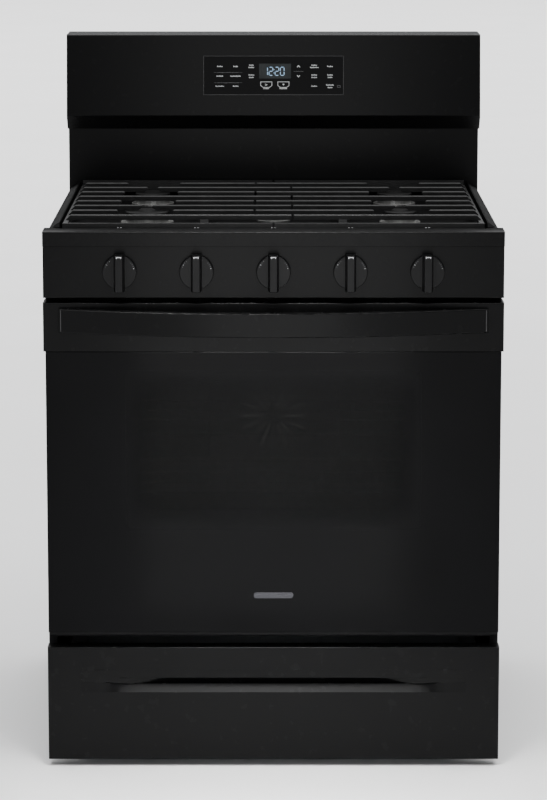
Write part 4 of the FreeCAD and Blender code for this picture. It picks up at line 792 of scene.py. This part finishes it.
def build_rear_screws(finish):
    """Screws round the rear panel, and along the cover behind the backguard."""
    bm = bmesh.new()
    low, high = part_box("rear_panel")
    for x in (low[0] + 10 * MM, low[0] / 2, 0.0, high[0] / 2, high[0] - 10 * MM):
        for z in (low[2] + 14 * MM, high[2] - 12 * MM):
            add_hex_screw(bm, (x, high[1], z), (0, 1, 0))
    for x in (low[0] + 10 * MM, high[0] - 10 * MM):
        for part in (0.25, 0.5, 0.75):
            add_hex_screw(bm, (x, high[1], low[2] + (high[2] - low[2]) * part), (0, 1, 0))
    piece("rear_panel_screws", bm, finish["zinc"])
    bm = bmesh.new()
    low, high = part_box("backguard_cover")
    inside = high[1] - 3.0 * MM
    for x in (low[0] + 14 * MM, low[0] / 2, 0.0, high[0] / 2, high[0] - 14 * MM):
        for z in (low[2] + 14 * MM, high[2] - 14 * MM):
            add_star_screw(bm, (x, inside, z), (0, 1, 0), 4.2 * MM, 2.2 * MM)
    piece("backguard_screws", bm, finish["zinc"])


HOOD_TOP, HOOD_BEND, HOOD_LIP = 5.6 * MM, 1.4 * MM, -2.6 * MM   # heights from the slot's middle
BEND_OUT, LIP_OUT = 2.2 * MM, 2.9 * MM   # how far the bend and the lip stand out
HOOD_TAPER = 2.0 * MM                    # each section is this much narrower a side than the one below
HOOD_SHEET = 0.7 * MM


def add_hood(bm, x, z, width, y):
    """A pressed louvre hood over a slot in a panel whose rear face is at y. It opens downwards."""
    half = width / 2 + HOOD_TAPER
    loops = []
    for inset in (0.0, HOOD_SHEET):
        section = ((y, z + HOOD_TOP - inset),
                   (y + BEND_OUT - inset * 0.7, z + HOOD_BEND - inset * 0.5),
                   (y + LIP_OUT - inset, z + HOOD_LIP))
        for side in (-1, 1):
            loop = []
            for step, (back, up) in zip((2, 1, 0), section):
                loop.append(bm.verts.new((x + side * (half - inset - HOOD_TAPER * step), back, up)))
            loops.append(loop)
    outer_left, outer_right, inner_left, inner_right = loops
    for left, right in ((outer_left, outer_right), (inner_left, inner_right)):
        for i in range(2):
            bm.faces.new((left[i], left[i + 1], right[i + 1], right[i]))
    foot = []
    for loop in loops:
        foot.append(bm.verts.new((loop[2].co.x, y, z + HOOD_LIP)))
        bm.faces.new((*loop, foot[-1]))
    for a, b, foot_a, foot_b in zip(loops, loops[2:], foot, foot[2:]):
        bm.faces.new((a[2], b[2], foot_b, foot_a))
        bm.faces.new((a[0], foot_a, foot_b, b[0]))
    bm.faces.new((outer_left[2], outer_right[2], inner_right[2], inner_left[2]))
    bm.faces.new((outer_left[0], outer_right[0], inner_right[0], inner_left[0]))


LOUVRES = ((8, 4, 42.0, 220.0, 820.0, 14.0),   # columns, rows, width, half spread, top and drop
           (3, 5, 48.0, 90.0, 540.0, 16.0))


def build_louvre_hoods(materials):
    """Hoods over the rear panel's two groups of slots."""
    bm = bmesh.new()
    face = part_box("rear_panel")[1][1]
    for columns, rows, width, spread, top, drop in LOUVRES:
        for column in range(columns):
            for row in range(rows):
                x = -spread + 2 * spread * column / (columns - 1)
                add_hood(bm, x * MM, (top - drop * row) * MM, width * MM, face)
    piece("louvre_hoods", bm, materials["zinc_steel"])


PLATE_X, PLATE_Z = 230.0, 700.0          # middle of the rating plate, in millimetres


def build_rating_plate(finish):
    """Blank rating plate on the rear panel, held by four rivets."""
    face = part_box("rear_panel")[1][1]
    bm = bmesh.new()
    outline = rounded_outline(PLATE_X * MM, PLATE_Z * MM, 96.0 * MM, 58.0 * MM, 4.0 * MM)
    add_slab(bm, outline, 0.5 * MM, face + 0.02 * MM)
    piece("rating_plate", bm, finish["plate"], bevel=0.15 * MM)
    bm = bmesh.new()
    for x in (-42.0, 42.0):
        for z in (-23.0, 23.0):
            add_rivet(bm, ((PLATE_X + x) * MM, face + 0.52 * MM, (PLATE_Z + z) * MM), (0, 1, 0), 2.2 * MM)
    piece("rating_plate_rivets", bm, finish["zinc"], smooth=True)
    bm = bmesh.new()
    for i, (x, width) in enumerate(((-12.0, 52.0), (-6.0, 64.0), (-16.0, 44.0), (-9.0, 58.0), (-20.0, 36.0))):
        outline = capsule((PLATE_X + x) * MM, (PLATE_Z + 16.0 - 8.0 * i) * MM, width * MM, 1.4 * MM, 3)
        add_slab(bm, outline, 0.06 * MM, face + 0.53 * MM)
    piece("rating_plate_lines", bm, finish["faint_print"])


def build_door_screws(finish):
    """Screws round the rim of the door's inner panel."""
    low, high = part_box("door_inner_panel")
    bm = bmesh.new()
    face = high[1] - 10.0 * MM
    for z in (0.06, 0.35, 0.65, 0.94):
        for x in (low[0] + 16 * MM, high[0] - 16 * MM):
            add_star_screw(bm, (x, face, low[2] + (high[2] - low[2]) * z), (0, 1, 0), 3.6 * MM)
    for x in (-0.55, -0.2, 0.2, 0.55):
        add_star_screw(bm, (high[0] * x, face, high[2] - 14 * MM), (0, 1, 0), 3.6 * MM)
        add_star_screw(bm, (high[0] * x, face, low[2] + 14 * MM), (0, 1, 0), 3.6 * MM)
    piece("door_panel_screws", bm, finish["zinc"], body="oven_door")


def build_fan_cover_screws(finish):
    """Screws at the corners of the fan's cover."""
    low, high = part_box("fan_cover")
    bm = bmesh.new()
    for x in (low[0] + 19 * MM, high[0] - 19 * MM):
        for z in (low[2] + 19 * MM, high[2] - 19 * MM):
            add_star_screw(bm, (x, low[1], z), (0, -1, 0), 3.8 * MM, 1.2 * MM)
    piece("fan_cover_screws", bm, finish["zinc"])


SENSOR_LENGTH = 100 * MM                 # from the tube's tip to the point that the clips are measured from
CLIP_PLACES = (-78.0 * MM, -12.0 * MM)
CLIP_RADIUS = 3.4 * MM
CLIP_FOOT = 7.0 * MM


def build_oven_sensor(finish):
    """The thermostat's sensing tube, in two clips on the oven's rear wall."""
    cover_low, cover_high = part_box("fan_cover")
    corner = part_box("oven_cavity")[1]
    x, y, z = corner[0] - 62 * MM, cover_low[1] + 4 * MM, corner[2] - 32 * MM
    wall = cover_high[1] - y - 0.2 * MM
    bm = bmesh.new()
    profile = ((0.0, 0.0), (1.8, 0.4), (2.6, 1.6), (2.6, 118), (2.2, 121), (1.2, 122), (1.2, 150), (0.0, 150))
    part = bmesh.new()
    add_turned(part, in_metres(profile), 24)
    add_part(bm, part, standing((x - SENSOR_LENGTH, y, z), (1, 0, 0)))
    piece("oven_sensor", bm, finish["zinc"], smooth=True)
    bm = bmesh.new()
    outline = []
    for i in range(13):
        angle = math.radians(-60.0 + 25.0 * i)
        outline.append((math.cos(angle) * CLIP_RADIUS, math.sin(angle) * CLIP_RADIUS))
    start = outline[0][1]
    strap = [(wall, start - CLIP_FOOT), (wall, start)] + outline[1:-1]
    turned = Matrix.Rotation(math.radians(90.0), 4, "Z")
    for along in CLIP_PLACES:
        part = bmesh.new()
        add_stroke(part, strap, 0.8 * MM, 7.0 * MM)
        add_part(bm, part, Matrix.Translation((x + along, y, z)) @ turned)
    piece("oven_sensor_clips", bm, finish["zinc"])


def build_drawer_rivets(finish):
    """Rivets that hold the runners to the drawer's sides and the straps to its front."""
    low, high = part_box("drawer_tub")
    inner_wall, runner_z = 344.0 * MM, 96.0 * MM
    strap_face = FRONT_Y + 31.0 * MM
    bm = bmesh.new()
    for side in (-1, 1):
        for part in (0.15, 0.38, 0.61, 0.84):
            y = low[1] + (high[1] - low[1]) * part
            add_rivet(bm, (side * inner_wall, y, runner_z), (-side, 0, 0))
    for strap_x in (-250.0, 250.0):
        for z in (95.0, 180.0):
            for step in (-11.0, 11.0):
                add_rivet(bm, ((strap_x + step) * MM, strap_face, z * MM), (0, 1, 0))
    piece("drawer_rivets", bm, finish["zinc"], body="storage_drawer", smooth=True)


def build_leg_threads(finish):
    """Threads on the legs' studs, between their pads and the base."""
    low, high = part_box("leveling_legs")
    pad_radius = 17.0 * MM
    bottom, top, pitch, turns = 15.2, 28.5, 1.75, 7
    profile = [(0.0, bottom), (4.9, bottom)]
    for i in range(turns):
        profile += [(5.8, 16.0 + pitch * i), (5.05, 16.9 + pitch * i)]
    profile += [(4.9, top), (0.0, top)]
    bm = bmesh.new()
    for x in (low[0] + pad_radius, high[0] - pad_radius):
        for y in (low[1] + pad_radius, high[1] - pad_radius):
            add_turned(bm, in_metres(profile), 28, (x, y, 0.0))
    piece("leg_threads", bm, finish["zinc"])


# ---- everything together ---------------------------------------------------------------------------
def main():
    materials = make_materials()
    dress_nodes(materials)
    finish = make_finishes()
    build_display(finish)
    build_knob_marks(finish)
    build_handle_ends(finish)
    build_burner_icons(finish)
    build_rear_screws(finish)
    build_louvre_hoods(materials)
    build_rating_plate(finish)
    build_door_screws(finish)
    build_fan_cover_screws(finish)
    build_oven_sensor(finish)
    build_drawer_rivets(finish)
    build_leg_threads(finish)
    add_floor()
    add_camera()
    add_world()
    add_lights()


main()
